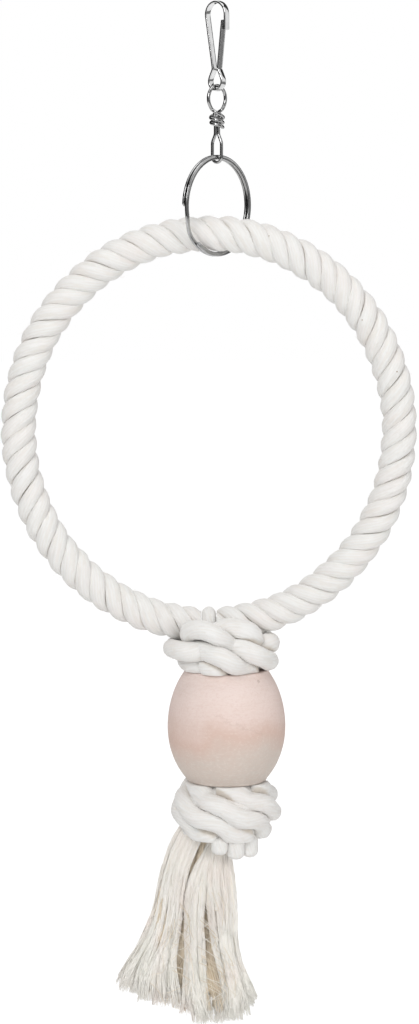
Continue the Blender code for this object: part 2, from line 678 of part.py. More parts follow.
def make_lower_knot_core(pivot, cotton):
    top, bottom = lower_knot_heights()
    half = (top - bottom) / 2 - strand_radius - KNOT_GAP
    reach = lower_core_reach()
    bore = (drop_rope_radius + CLEARANCE) / math.cos(math.pi / LOOP_STEPS)
    rim = (bore + reach) / 2
    profile = [(bore, half), (bore, -half), (rim, -half), (reach, -half / 2), (reach, half / 2), (rim, half)]
    mesh = turned("lower_knot_core", profile, LOOP_STEPS)
    add_object("lower_knot_core", mesh, pivot, cotton, (drop_x, 0.0, (top + bottom) / 2))


def lower_knot_route(begin):
    """One strand: out from the rope under the bead, round the knot as it falls, and in again.

    It falls in steep and flat stretches by turns, as often round the knot as there are strands.
    """
    top, bottom = lower_knot_heights()
    seat = drop_rope_radius + CLEARANCE + strand_radius
    reach = LOWER_KNOT_RADIUS - strand_radius
    turns = (top - bottom) / ((STRAND_DIAMETER + KNOT_GAP) * LOWER_KNOT_STRANDS)
    end = begin + 360 * turns
    tuck = (seat + reach - LOWER_KNOT_DRAW_IN) / 2
    route = [round_drop(begin - 2 * LOWER_KNOT_TUCK, seat, top),
             round_drop(begin - LOWER_KNOT_TUCK, tuck, top)]
    steps = round(LOOP_STEPS * turns)
    for step in range(steps + 1):
        share = step / steps
        azimuth = begin + (end - begin) * share
        radius = reach - LOWER_KNOT_DRAW_IN * (2 * share - 1) ** 2
        wave = LOWER_KNOT_WAVE * math.sin(math.radians(LOWER_KNOT_STRANDS * (azimuth - LOWER_KNOT_STEEPEST)))
        route.append(round_drop(azimuth, radius, top + (bottom - top) * share - wave))
    route += [round_drop(end + LOWER_KNOT_TUCK, tuck, bottom),
              round_drop(end + 2 * LOWER_KNOT_TUCK, seat, bottom)]
    return route


def make_lower_knot(pivot, cotton):
    top, bottom = lower_knot_heights()
    step = STRAND_DIAMETER * SETTLE_STEP
    starts = [LOWER_KNOT_START + 360 * index / LOWER_KNOT_STRANDS for index in range(LOWER_KNOT_STRANDS)]
    routes = [smooth_route(lower_knot_route(start), step) for start in starts]
    pinned = [np.zeros(len(route), bool) for route in routes]

    def push_out(points):
        points = push_from_axis(points, drop_x, drop_rope_radius + strand_radius + CLEARANCE, -1.0, 1.0)
        points = push_from_axis(points, drop_x, lower_core_reach() + strand_radius + KNOT_GAP,
                                bottom + strand_radius, top - strand_radius)
        points[:, 2] = np.clip(points[:, 2], bottom, top)
        return points

    settled = settle(routes, pinned, STRAND_DIAMETER + CLEARANCE, push_out)
    names = [f"lower_knot_strand_{index + 1}" for index in range(LOWER_KNOT_STRANDS)]
    add_strands(names, settled, pivot, cotton)


def make_cut_ends(pivot, cotton):
    """Short strand ends that stand out under the knot, rounded where they were cut."""
    for index, (azimuth, length) in enumerate(zip(CUT_END_AZIMUTHS, CUT_END_LENGTHS)):
        name = f"cut_end_{index + 1}"
        top = Vector(round_drop(math.degrees(azimuth), LOWER_KNOT_RADIUS - CUT_END_INSET,
                                lower_knot_bottom_z - CLEARANCE))
        shares = (0.0, 0.35, 0.7, 0.9, 1.0)
        widths = [CUT_END_DIAMETER * share for share in (0.9, 1.0, 1.0, 0.85, 0.5)]
        points = [top + DOWN * (length * share) for share in shares]
        data = tube(name, points, CUT_END_DIAMETER, top, widths=widths)
        add_object(name, data, pivot, cotton, top)


# Tassel

def make_tassel_root(pivot, yarn):
    """The bound head of the tassel, a long cushion with a crowned top that can rock under the knot."""
    profile = [(0.0, 0.0), (1.0, -TASSEL_ROOT_CROWN), (1.0, -TASSEL_ROOT_HEIGHT), (0.0, -TASSEL_ROOT_HEIGHT)]
    mesh = turned("tassel_root", profile, LOOP_STEPS)
    mesh.transform(Matrix.Diagonal((TASSEL_ROOT_HALF_WIDTH, TASSEL_ROOT_HALF_DEPTH, 1.0, 1.0)))
    add_object("tassel_root", mesh, pivot, yarn, pivot["place"])


def make_tassel_locks(pivot, yarn):
    root_pitch = LOCK_ROOT_DIAMETER + LOCK_SPACE
    tip_pitch = LOCK_TIP_DIAMETER + LOCK_SPACE
    for row, side in enumerate((-0.5, 0.5)):
        for column, length in enumerate(LOCK_LENGTHS):
            name = f"tassel_lock_{row * LOCKS_PER_ROW + column + 1}"
            place = column - (LOCKS_PER_ROW - 1) / 2
            points, widths = [], []
            for step in range(LOCK_STEPS + 1):
                share = step / LOCK_STEPS
                shift = TASSEL_ROOT_SHIFT + (TASSEL_TIP_SHIFT - TASSEL_ROOT_SHIFT) * share ** LOCK_LEAN
                flare = share ** LOCK_FLARE
                pitch = root_pitch + (tip_pitch - root_pitch) * flare
                across = drop_x + shift + place * pitch
                points.append(Vector((across, side * pitch, locks_top_z - length * share)))
                widths.append(LOCK_ROOT_DIAMETER + (LOCK_TIP_DIAMETER - LOCK_ROOT_DIAMETER) * flare)
            data = tube(name, points, LOCK_TIP_DIAMETER, pivot["place"], widths=widths)
            add_object(name, data, pivot, yarn, pivot["place"])


def main():
    clear_scene()
    nickel = make_material("nickel", (0.74, 0.74, 0.73), 0.18, 1.0)
    steel = make_material("core_steel", (0.55, 0.55, 0.56), 0.4, 1.0)
    cotton = make_material("cotton", (0.91, 0.90, 0.86), 0.9, 0.0)
    yarn = make_material("yarn", (0.88, 0.85, 0.79), 0.95, 0.0)
    wood = make_material("wood", (0.75, 0.62, 0.55), 0.55, 0.0)

    hook = make_pivot("hook_seat", (0.0, 0.0, 0.0))
    across, up = hook_waist(1)
    gate = make_pivot("gate_axis", (across * math.cos(HOOK_YAW), -across * math.sin(HOOK_YAW), up), hook)
    eye = make_pivot("eye_axis", (0.0, 0.0, pocket_z), hook)
    shank = make_pivot("swivel_axis", (0.0, 0.0, crossing_z), eye)
    split_top_z = split_ring_z + split_inner_radius + SPLIT_WIRE_HEIGHT / 2
    split = make_pivot("split_ring_axis", (0.0, 0.0, split_top_z), shank)
    ring = make_pivot("rope_ring_axis", (0.0, 0.0, rope_top_z), split)
    drop = make_pivot("drop_axis", (RING_SHIFT, 0.0, rope_bottom_z), ring)
    bead = make_pivot("bead_axis", (drop_x, 0.0, bead_z), drop)
    tassel = make_pivot("tassel_axis", (tassel_x, 0.0, tassel_z), drop)

    make_hook(hook, nickel)
    make_gate(gate, nickel)
    make_eye(eye, nickel)
    make_shank(shank, nickel)
    make_split_ring(split, nickel)
    make_ring_rope(ring, cotton)
    make_ring_core(ring, steel)
    make_drop_rope(drop, cotton)
    make_upper_knot(drop, cotton)
    make_bead(bead, wood)
    make_lower_knot_core(drop, cotton)
    make_lower_knot(drop, cotton)
    make_cut_ends(drop, cotton)
    make_tassel_root(tassel, yarn)
    make_tassel_locks(tassel, yarn)


main()
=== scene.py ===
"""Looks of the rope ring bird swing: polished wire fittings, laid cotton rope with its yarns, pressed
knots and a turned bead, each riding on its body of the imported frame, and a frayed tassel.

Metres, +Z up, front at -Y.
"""

import math

import bmesh
import bpy
import numpy as np
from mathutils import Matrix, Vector


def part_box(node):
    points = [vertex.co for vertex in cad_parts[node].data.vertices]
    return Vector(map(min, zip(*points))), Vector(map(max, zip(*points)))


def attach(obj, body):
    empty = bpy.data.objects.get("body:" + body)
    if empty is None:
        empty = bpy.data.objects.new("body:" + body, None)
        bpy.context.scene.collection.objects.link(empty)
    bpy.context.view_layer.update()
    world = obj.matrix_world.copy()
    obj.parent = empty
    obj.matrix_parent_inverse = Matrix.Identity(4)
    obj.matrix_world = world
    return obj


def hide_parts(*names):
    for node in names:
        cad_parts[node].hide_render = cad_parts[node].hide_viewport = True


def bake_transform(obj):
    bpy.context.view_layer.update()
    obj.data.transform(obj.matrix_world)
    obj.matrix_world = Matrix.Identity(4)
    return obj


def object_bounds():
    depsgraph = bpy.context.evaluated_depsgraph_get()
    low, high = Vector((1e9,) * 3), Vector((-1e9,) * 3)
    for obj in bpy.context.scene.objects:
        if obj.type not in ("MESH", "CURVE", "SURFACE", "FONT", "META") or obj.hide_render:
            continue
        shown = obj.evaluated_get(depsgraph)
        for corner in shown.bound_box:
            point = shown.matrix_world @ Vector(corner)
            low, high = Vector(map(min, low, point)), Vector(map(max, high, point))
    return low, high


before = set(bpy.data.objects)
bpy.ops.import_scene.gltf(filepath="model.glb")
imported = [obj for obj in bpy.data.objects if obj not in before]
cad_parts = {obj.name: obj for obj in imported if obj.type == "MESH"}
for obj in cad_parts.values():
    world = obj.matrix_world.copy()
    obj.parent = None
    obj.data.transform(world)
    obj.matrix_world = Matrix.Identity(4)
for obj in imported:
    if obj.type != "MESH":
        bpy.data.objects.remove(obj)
cad_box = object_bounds()

MM = 0.001
FULL_TURN = 2 * math.pi
MERGE_DISTANCE = 0.001 * MM
CUT_TOLERANCE = 0.1 * MERGE_DISTANCE
TINY = 1e-9
NO_LENGTH = 1e-12
LOOP_STEPS = 24
CURVE_STEPS = 16
# Share of the way to a point at which a rounded end stops
END_CLOSING = 0.98
# Greatest slope to the front at which a line's frame starts from that direction
FRAME_SLOPE = 0.8

# Snap hook, one flat strip
STRIP_THICKNESS = 1.0 * MM
STRIP_WIDTH = 3.0 * MM
STRIP_EDGE = 0.36 * MM
STRIP_STEP = 0.25 * MM
STRIP_EASING = 8
HOOK_YAW = math.radians(42.0)
HOOK_RADIUS = 5.6 * MM
HOOK_DROP = 37.6 * MM
NOSE_LENGTH = 6.9 * MM
POCKET_RADIUS = 3.75 * MM
WAIST_RISE = 5.45 * MM
WAIST_HALF_WIDTH = 1.45 * MM
GATE_OVERLAP = 4.6 * MM
GATE_PLAY = 0.6 * MM
CLEARANCE = 0.3 * MM

# Swivel. A wire's step and the depth of its rounded ends are in diameters
WIRE_SIDES = 16
WIRE_STEP = 0.25
WIRE_END = 0.3
LINK_PLAY = 0.6 * MM
TURN_GAP = 0.45 * MM
EYE_WIRE = 1.5 * MM
EYE_RADIUS = 5.6 * MM
EYE_NECK = 6.9 * MM
EYE_LOW_ANGLE = math.radians(35.0)
WRAP_FLARE = 0.6 * MM
CROSSING_RISE = 2.0 * MM
CROSSING_TURN = 0.4
WRAP_GAP = 0.62 * MM
FRONT_WRAP_TURNS = 1.4
BACK_WRAP_TURNS = 1.15
SHANK_WIRE = 1.4 * MM
SHANK_PLAY = 0.25 * MM
SHANK_LENGTH = 21.25 * MM
SHANK_NECK = 8.2 * MM
SHANK_TIP_RISE = 0.9 * MM
SHANK_TIP_SPREAD = 0.55 * MM
SHANK_TIP_LENGTH = 2.6 * MM
SHANK_SHOULDER = 5.0 * MM
SHANK_STEPS = 60

# Split ring
SPLIT_RING_DIAMETER = 45.0 * MM
SPLIT_RING_YAW = math.radians(49.8)
SPLIT_WIRE_HEIGHT = 2.0 * MM
SPLIT_WIRE_DEPTH = 1.1 * MM
SPLIT_WIRE_EDGE = 0.42 * MM
SPLIT_WIRE_END = 0.3 * MM
SPLIT_CROSSING = math.radians(30.0)
SPLIT_CROSSING_AT = math.radians(204.0)
SPLIT_END_GAP = math.radians(9.0)
SPLIT_STEPS = 260

# Rope ring
ROPE_RADIUS = 8.0 * MM
CORE_WIRE = 3.0 * MM
LAY_TURNS = 21
STRANDS = 3
STRAND_OFFSET = 3.85 * MM
ROWS_PER_LAY = 32
SLOT_OVERHANG = 8.0 * MM
SLOT_DRAW_IN = 0.2
SLOT_DRAW_LENGTH = 6.0 * MM
LAID_SAMPLES = 600
LAID_ANGLES = 361
# Waves round the ring, each with its height, its count and its phase. In the last two tables the phase
# grows from strand to strand
LAY_UNEVENNESS = ((0.010, 7, 0.6), (0.008, 17, 2.0))
LAY_SWAY = ((0.05, 5, 2.1), (0.04, 13, 1.3))
RING_STRAND_WAVES = ((0.02, 11, 2.6), (0.015, 29, 0.9))

# Cotton strands and their yarns
STRAND_DIAMETER = 7.5 * MM
STRAND_SWELL = 0.6 * MM
STRAND_LEAST = 0.2 * MM
STRAND_ROW = 0.7 * MM
TUCK_SWELL = 0.9
TUCK_LENGTH = 14.0 * MM
YARNS = 20
YARN_COLUMNS = 3
YARN_GROOVE = 0.14 * MM
YARN_UNEVENNESS = 0.1 * MM
YARN_WAVES_PER_ROW = (0.013, 0.037, 0.081)
YARN_TURN_LENGTH = 78.0 * MM
PRESS_RANGE = 3 * STRAND_DIAMETER
PRESS_SOFTNESS = 0.22 * MM
PRESS_OVERLAP = 0.12 * MM
# Depth of pressing at which a strand's painted shade is full, and the share of painted shade in the grooves
# between its yarns
CREASE_DEPTH = 1.1 * MM
GROOVE_SHADE = 0.3
# Reach in a direction in which nothing presses on a strand
UNPRESSED = 1.0
# Diameters along a strand within which it doesn't press on itself
SELF_REACH = 2.5

# Drop and its knots
DROP_LAY = 26.0 * MM
DROP_ROW = 0.8 * MM
KNOT_GAP = 0.4 * MM
KNOT_EASING = 6
# Waves along a knot's strands, as those round the ring, with their counts per metre
KNOT_WAVES = ((0.03, 1 / (9 * MM), 1), (0.02, 1 / (4 * MM), 2))
BEAD_TOUCH = 0.1 * MM
# Stretch of the ring that presses on the upper knot, in radians to each side of its lowest point
KNOT_RING_ANGLE = 0.6
KNOT_RING_STEPS = 240
HITCH_DIAMETER = 6.2 * MM
HITCH_TAPER = 9.0 * MM
# Share of the hitch strand's thinning from which it counts as lying in the rope's slot
HITCH_IN_SLOT = 0.99
SLOT_HALF = HITCH_DIAMETER / 2 + KNOT_GAP
LOWER_KNOT_HEIGHT = 25.0 * MM
LOWER_KNOT_RADIUS = 22.7 * MM
LOWER_KNOT_DRAW_IN = 5.5 * MM
LOWER_KNOT_WAVE = 0.9 * MM
LOWER_KNOT_START = 218.0
LOWER_KNOT_STEEPEST = 215.0
LOWER_KNOT_STRANDS = 6
LOWER_KNOT_TUCK = 22.0
INNER_TURN_DEPTH = 0.7 * MM
INNER_TURN_RADIUS = 3.4 * MM
INNER_TURNS = 4.6
INNER_TURN_STEPS = 240
CUT_ENDS = 3
CUT_END_SWELL = 1.1
CUT_END_ROUND = 0.8
CUT_END_ROOT = 2.5 * MM
CUT_END_ROW = 0.4 * MM
SETTLE_STEP = 0.25
SETTLE_ROUNDS = 600
SETTLE_EASING = (0.5, 0.05)
SETTLE_PUSH = 1.5

# Angles round the core wire of the hitch strand, in degrees from its top to the front: over the wire,
# half out of the rope's slot and just outside it
HITCH_OVER = (30, 60, 90)
HITCH_LEAVING = 100
HITCH_OUTSIDE = 104
# Routes of the upper knot's strands, each point as the azimuth round the drop's axis in degrees (180
# left, 270 front, 360 right), the reach from that axis and the drop below the rope ring's line in mm
HITCH_BACK = ((80, 11.3, 12.0), (88, 13.0, 8.0), (95, 13.5, 3.0))
HITCH_FRONT = ((250, 13.0, 3.0), (269, 13.2, 3.2), (286, 14.8, 5.0), (299, 15.4, 8.0),
               (315, 13.4, 10.0), (330, 11.3, 10.5))
UPPER_STRAND_ROUTES = (
    ((195, 11.3, 12.0), (203, 16.5, 7.0), (211, 20.8, 2.4), (229, 21.4, 1.5), (245, 21.2, 3.2),
     (255, 19.1, 6.6), (263, 14.3, 9.6), (276, 11.7, 11.2), (292, 14.8, 12.0), (303, 19.8, 13.0),
     (318, 20.4, 14.6), (337, 19.6, 16.0), (360, 18.2, 16.3), (383, 15.2, 16.3), (398, 11.4, 16.3)),
    ((140, 11.3, 13.0), (160, 15.8, 11.4), (185, 20.0, 10.4), (208, 20.2, 10.1), (224, 18.2, 10.8),
     (233, 14.7, 11.4), (244, 12.7, 12.0), (262, 15.6, 11.6), (273, 19.0, 11.8), (283, 19.4, 14.2),
     (296, 16.2, 16.2), (315, 12.6, 16.3), (335, 11.4, 16.3)),
    ((345, 11.3, 11.0), (338, 15.2, 9.2), (345, 18.2, 8.8), (360, 18.6, 9.0), (380, 17.8, 8.0),
     (405, 17.5, 6.0), (435, 18.0, 6.5), (460, 18.5, 9.0), (490, 18.0, 13.0), (515, 17.4, 16.0),
     (540, 16.2, 16.3), (560, 15.8, 16.3), (576, 15.6, 16.3), (588, 14.8, 16.3), (600, 14.0, 16.3),
     (614, 16.5, 16.3), (628, 15.0, 16.3), (642, 12.0, 16.3)))

# Bead. Each end has its rim's radius and its height from the widest place
BEAD_UPPER_END = (18.3 * MM, 26.3 * MM)
BEAD_LOWER_END = (17.3 * MM, 24.6 * MM)
BEAD_EDGE = 1.2 * MM
BEAD_MOUTH = 0.7 * MM
BEAD_MOUTH_ROUND = (0.2 * MM, 0.25 * MM)
BEAD_SIDE_STEPS = 24
BEAD_EDGE_STEPS = 6
BEAD_SPIN_STEPS = 96

# Tassel, in mm. For each bundle of locks: stations of the drop below the tassel's top with the places of
# its left and right edges, stations of that drop with how far its front lies behind the tassel's middle,
# and the lengths of its locks from left to right
TASSEL_BUNDLES = {
    "left": (((-5, -14.5, -5.0), (2.7, -19.6, -6.2), (6.0, -20.8, -9.2), (10.3, -22.2, -11.6),
              (16.6, -24.4, -12.8), (24.1, -25.6, -13.6), (32.9, -26.6, -15.0), (48, -31.6, -17.0),
              (58, -37.6, -18.2), (66.9, -42.2, -18.0), (84, -46.0, -17.6)),
             ((-5, -1.0), (2.7, -4.4), (16.6, -7.4), (48, -8.5), (84, -9.5)), (70, 73, 75, 77, 78)),
    "middle": (((-5, -3.0, 0.5), (2.7, -2.6, 0.0), (6.0, -4.8, -1.2), (10.3, -8.8, -2.8),
                (16.6, -11.6, -4.5), (24.1, -13.8, -5.1), (32.9, -14.7, -5.9), (48, -15.0, -6.6),
                (56.8, -15.2, -6.0), (66.9, -15.9, -4.5), (84, -16.4, -0.4)),
               ((-5, 0.5), (7.8, -1.0), (20, -6.5), (40, -9.0), (84, -10.5)), (81, 84, 85)),
    "right": (((-5, -1.0, 6.0), (7.8, -2.6, 5.9), (16.6, -5.1, 7.2), (24.1, -5.4, 8.2), (32.9, -4.1, 8.3),
               (48, -1.5, 8.8), (56.8, 0.0, 11.2), (66.9, 1.2, 15.9), (84, -2.2, 23.0)),
              ((-5, 0.0), (7.8, -2.0), (24, -6.0), (48, -8.0), (84, -9.5)), (85, 84, 82, 77)),
    "left_side": (((-5, -13.0, -7.0), (2.7, -18.0, -11.5), (16.6, -22.5, -15.5), (32.9, -24.8, -17.5),
                   (48, -29.6, -22.0), (66.9, -40.0, -32.0), (84, -44.0, -36.0)),
                  ((-5, 0.0), (84, 0.0)), (71, 74)),
    "right_side": (((-5, 1.0, 5.0), (7.8, 0.0, 5.2), (24.1, 1.5, 7.4), (48, 2.5, 8.2), (66.9, 8.5, 15.0),
                    (84, 15.0, 21.5)),
                   ((-5, 0.0), (84, 0.0)), (80, 77)),
    "inner": (((-5, -12.0, 4.0), (8, -18.0, 3.0), (30, -26.0, 5.0), (50, -32.0, 6.0), (75, -38.0, 12.0)),
              ((-5, 2.0), (14, 1.0), (32, -1.4), (75, -2.6)), (71, 76, 80, 80, 75)),
}
OUTER_SIDES = {"left": -1, "right": 1}
UNPAIRED_BUNDLES = ("left_side", "right_side", "inner")
BUNDLE_ROUNDNESS = 0.35
TASSEL_LOCKS = 8
TASSEL_FALL = 85 * MM
BACK_SHIFT = -1.8 * MM
# Locks: their width over an even share of the bundle's, their depth over their width, and the waves in
# which they hang, with a height in half widths, the drop over which it grows and a length across and behind
LOCK_OVERLAP = 1.3
LOCK_FLATNESS = 1.15
LOCK_LOOSENESS = 0.4
LOCK_LOOSENING = 20 * MM
LOCK_WAVES = (15 * MM, 13 * MM)
LOCK_EASING = 30
LOCK_RAGGED = 6.0 * MM
LOCK_TWIST = (0.9, 2.4)
LOCK_CORE = 0.9
LOCK_CORE_COLUMNS = 48
CORE_GROOVE = 0.07
CORE_UNEVENNESS = 0.05
CORE_STOP = 6.0 * MM
CORE_END = 4 * MM
# Share of painted shade on the cores of the front and back locks
CORE_SHADE = 0.3
# Clumps of yarns on a lock
LOCK_CLUMPS = 8
CLUMP_JITTER = 0.3
CLUMP_SWELLS = (0.92, 1.06)
CLUMP_SPREAD = 0.36
CLUMP_FALL_OFF = 0.3
CLUMP_RAGGED = 1.2 * MM
CLUMP_WANDER = 0.12
CLUMP_WANDER_LENGTH = 13 * MM
# Yarns: how far from a lock's middle they lie, in its half widths, and how they ripple along it
LOCK_YARNS = {"front": 250, "back": 170, "inner": 170}
YARNS_PER_INNER = 5
YARN_STEPS = 14
YARN_REACH = (0.92, 1.03)
INNER_REACH = (0.05, 0.9)
YARN_FLARE = 0.14
YARN_RIPPLES = (0.4 * MM, 0.28 * MM)
RIPPLES_ACROSS = (6 * MM, 3.2 * MM)
RIPPLES_BEHIND = (7 * MM, 3.6 * MM)
YARN_WIDTH = (0.22 * MM, 0.42 * MM)
YARN_TAPER = 0.3
# Stray threads, and the front locks from which they start, counted from 0 at the left
STRAY_THREADS = 34
STRAY_STARTS = (2, 3, 4, 4, 4, 5, 7, 7, 7, 7, 8, 9)
STRAY_DROP = (24 * MM, 66 * MM)
STRAY_FALL = (3 * MM, 9 * MM)
STRAY_CLEAR = 1.08
STRAY_OFF = (0.5 * MM, 2.2 * MM)
STRAY_SIDE = 0.7
STRAY_STEP = 1.2 * MM
STRAY_WIDTH = (0.15 * MM, 0.25 * MM)

# Loose fibres of the ring and the knots, with their count and greatest length
RING_FIBRES = (700, 4 * MM)
KNOT_FIBRES = (450, 3.5 * MM)
FIBRE_POINTS = 5
FIBRE_LENGTH = (0.35, 1.0)
FIBRE_RISE = (0.15, 0.5)
FIBRE_CURL = (1.2, 2.6)
FIBRE_BEND = 0.4
FIBRE_WIDTH = (0.11 * MM, 0.05 * MM)

# Grays of the plating in its dulled and its bright patches, and the least share of painted brownish shade in
# the inner yarns
BRIGHT_NICKEL = (0.62, 0.76)
WORN_NICKEL = (0.32, 0.46)
INNER_SHADE = 0.75

# The photograph's camera
PHOTO_HEIGHT = 1024
CAMERA_TARGET = Vector((-3.3 * MM, 0.0, -226.35 * MM))
CAMERA_DISTANCE = 1.4
CAMERA_ELEVATION = math.radians(6.5)
METRES_PER_PIXEL = 0.45 * MM
SENSOR = 36.0

# Studio. Each lamp has its place, its diameter and its power in watts
LAMPS = {
    "key_lamp": ((-0.5, -1.4, 0.7), 0.8, 11.5),
    "fill_lamp": ((1.2, -1.3, -0.1), 1.2, 6.5),
    "top_lamp": ((0.1, -0.3, 1.5), 1.0, 5.5),
    "back_lamp": ((-0.3, 1.5, 0.5), 1.2, 7.0),
}
WORLD_LIGHT = 0.48
FLOOR_DROP = 90 * MM
FLOOR_HALF = 6.0
FLOOR_GLOW = 1.2
FLOOR_SHOWN = 0.75
CARD_MIDDLE = Vector((0.0, 0.0, -60 * MM))
CARD_DISTANCE = 1.2
CARD_SIZE = (0.9, 2.6, 1.0)
# Azimuth from the front towards the right and elevation, both in degrees, and the card's gray
CARD_PLACES = ((46, 0, 0.03), (90, -48, 0.3), (128, 0, 0.03), (165, 0, 0.03), (-46, 0, 0.03), (-85, 0, 0.03),
               (-124, 0, 0.03), (-163, 0, 0.03), (24, -42, 0.05), (-24, -42, 0.05))

# Places that the frame gives
core_low, core_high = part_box("ring_core_wire")
ring_middle = (core_low + core_high) / 2
ring_half_width = (core_high.x - core_low.x - CORE_WIRE) / 2
ring_half_height = (core_high.z - core_low.z - CORE_WIRE) / 2
rope_bottom_z = ring_middle.z - ring_half_height
drop_low, drop_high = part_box("drop_rope")
drop_x = (drop_low.x + drop_high.x) / 2
drop_rope_radius = (drop_high.x - drop_low.x) / 2
bead_low, bead_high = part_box("wooden_bead")
bead_radius = (bead_high.x - bead_low.x) / 2
tassel_top_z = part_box("tassel_root")[1].z
split_low, split_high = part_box("split_ring")
split_ring_z = (split_low.z + split_high.z) / 2
strand_radius = STRAND_DIAMETER / 2

# Heights of the fittings, from the top down
hook_arc_z = STRIP_THICKNESS / 2 - HOOK_RADIUS
pocket_z = -HOOK_DROP - STRIP_THICKNESS / 2 + POCKET_RADIUS
waist_z = pocket_z + WAIST_RISE
nose_z = hook_arc_z - NOSE_LENGTH
gate_tip_z = nose_z + GATE_OVERLAP
eye_z = -HOOK_DROP + LINK_PLAY + EYE_WIRE / 2 - EYE_RADIUS
crossing_z = eye_z - EYE_NECK
shank_bottom_z = crossing_z - SHANK_LENGTH
shank_half = (SHANK_WIRE + TURN_GAP) / 2
wrap_radius = shank_half + SHANK_WIRE / 2 + SHANK_PLAY + EYE_WIRE / 2
wrap_pitch = 2 * (EYE_WIRE + WRAP_GAP)
split_inner_radius = SPLIT_RING_DIAMETER / 2 - SPLIT_WIRE_HEIGHT

UV_NAME = "strand"
PAINTED_SHADE_NAME = "crease"
UV_UNIT = 10 * MM
SMOOTH_ALL = math.pi
SHARP_ANGLE = math.radians(50.0)
random = np.random.default_rng(7)


# Shader nodes

class Value:
    """A shader socket. Sums, differences, products and comparisons of it add Math nodes."""

    def __init__(self, tree, socket):
        self.tree = tree
        self.socket = socket

    def math(self, operation, *values):
        return add_node(self.tree, "ShaderNodeMath", {"operation": operation}, dict(enumerate(values)))

    def at_least(self, other):
        return self.math("MAXIMUM", self, other)

    def __abs__(self):
        return self.math("ABSOLUTE", self)

    def __add__(self, other):
        return self.math("ADD", self, other)

    def __radd__(self, other):
        return self.math("ADD", other, self)

    def __sub__(self, other):
        return self.math("SUBTRACT", self, other)

    def __rsub__(self, other):
        return self.math("SUBTRACT", other, self)

    def __mul__(self, other):
        return self.math("MULTIPLY", self, other)

    def __rmul__(self, other):
        return self.math("MULTIPLY", other, self)

    def __lt__(self, other):
        return self.math("LESS_THAN", self, other)

    def __gt__(self, other):
        return self.math("GREATER_THAN", self, other)


class Finish:
    """A material in the making, with its Principled shader."""

    def __init__(self, name):
        self.material = bpy.data.materials.new(name)
        self.material.use_nodes = True
        self.tree = self.material.node_tree
        self.shader = self.tree.nodes["Principled BSDF"]

    def node(self, kind, settings=None, inputs=None, output=0):
        return add_node(self.tree, kind, settings, inputs, output)

    def set(self, **values):
        for name, value in values.items():
            feed(self.tree, self.shader.inputs[name.replace("_", " ").title()], value)

    def mapped(self, place, scale, shift=(0.0, 0.0, 0.0)):
        return self.node("ShaderNodeMapping", {"vector_type": "POINT"},
                         {"Vector": place, "Location": shift, "Scale": scale})

    def object_place(self, scale=(1.0, 1.0, 1.0), shift=(0.0, 0.0, 0.0)):
        return self.mapped(self.node("ShaderNodeTexCoord", output="Object"), scale, shift)

    def strand_place(self, scale):
        return self.mapped(self.node("ShaderNodeUVMap", {"uv_map": UV_NAME}), scale)

    def split(self, place):
        """The three coordinates of a place."""
        first = self.node("ShaderNodeSeparateXYZ", inputs={"Vector": place})
        return [Value(self.tree, socket) for socket in first.socket.node.outputs]

    # The share of painted shade that a mesh carries at each point
    def crease(self):
        return self.node("ShaderNodeAttribute", {"attribute_name": PAINTED_SHADE_NAME}, output="Fac")

    def noise(self, place, scale=1.0, detail=2.0, roughness=0.5):
        return self.node("ShaderNodeTexNoise", {"noise_dimensions": "3D"},
                         {"Vector": place, "Scale": scale, "Detail": detail, "Roughness": roughness})

    def ramp(self, value, *stops):
        return self.node("ShaderNodeValToRGB", {"stops": stops}, {"Fac": value})

    def fade(self, value, start, end):
        """A ramp between two grays, each given with its place on the ramp."""
        return self.ramp(value, *((place, gray(tone)) for place, tone in (start, end)))

    def mix(self, share, first, second):
        return self.node("ShaderNodeMix", {"data_type": "RGBA"}, {0: share, 6: first, 7: second}, output=2)

    def tint(self, color, tone, value, start, end):
        """A color mixed with a tone, by a share that fades between two stops of a value."""
        return self.mix(self.fade(value, start, end), color, tone)

    def bump(self, height, strength, distance):
        inputs = {"Strength": strength, "Distance": distance, "Height": height}
        self.set(Normal=self.node("ShaderNodeBump", inputs=inputs))


def add_node(tree, kind, settings=None, inputs=None, output=0):
    """A new node with its settings, its values and its links, as the value of one output."""
    made = tree.nodes.new(kind)
    for key, value in (settings or {}).items():
        if key == "stops":
            set_stops(made.color_ramp, value)
        else:
            setattr(made, key, value)
    for key, value in (inputs or {}).items():
        feed(tree, made.inputs[key], value)
    return Value(tree, made.outputs[output])


def feed(tree, socket, value):
    """Links a value to a socket, or sets the socket to a number, a vector or an opaque color."""
    if isinstance(value, Value):
        tree.links.new(value.socket, socket)
    else:
        socket.default_value = opaque(value) if socket.type == "RGBA" else value


def set_stops(ramp, stops):
    while len(ramp.elements) < len(stops):
        ramp.elements.new(0.5)
    for element, (position, color) in zip(ramp.elements, stops):
        element.position = position
        element.color = opaque(color)


def opaque(color):
    return (*color, 1.0)


def gray(value):
    return (value, value, value)


# Finishes

def make_nickel(name, dull, bright):
    """Nickel plate with a faint drawn grain, between the grays of its dulled and of its bright patches."""
    finish = Finish(name)
    patches = finish.noise(finish.object_place(), scale=260.0, detail=3.0)
    grain = finish.noise(finish.object_place((1.0, 1.0, 0.12)), scale=5200.0)
    finish.set(Base_Color=finish.fade(patches, (0.3, dull), (0.7, bright)), Metallic=1.0,
               Roughness=0.03 + 0.05 * patches + 0.03 * grain)
    finish.bump(grain, strength=0.03, distance=0.01 * MM)
    return finish.material


def make_core_steel():
    finish = Finish("drawn_steel")
    grain = finish.noise(finish.object_place((1.0, 1.0, 0.2)), scale=3000.0)
    finish.set(Base_Color=finish.fade(grain, (0.3, 0.42), (0.7, 0.56)), Metallic=1.0,
               Roughness=0.3 + 0.15 * grain)
    finish.bump(grain, strength=0.1, distance=0.02 * MM)
    return finish.material


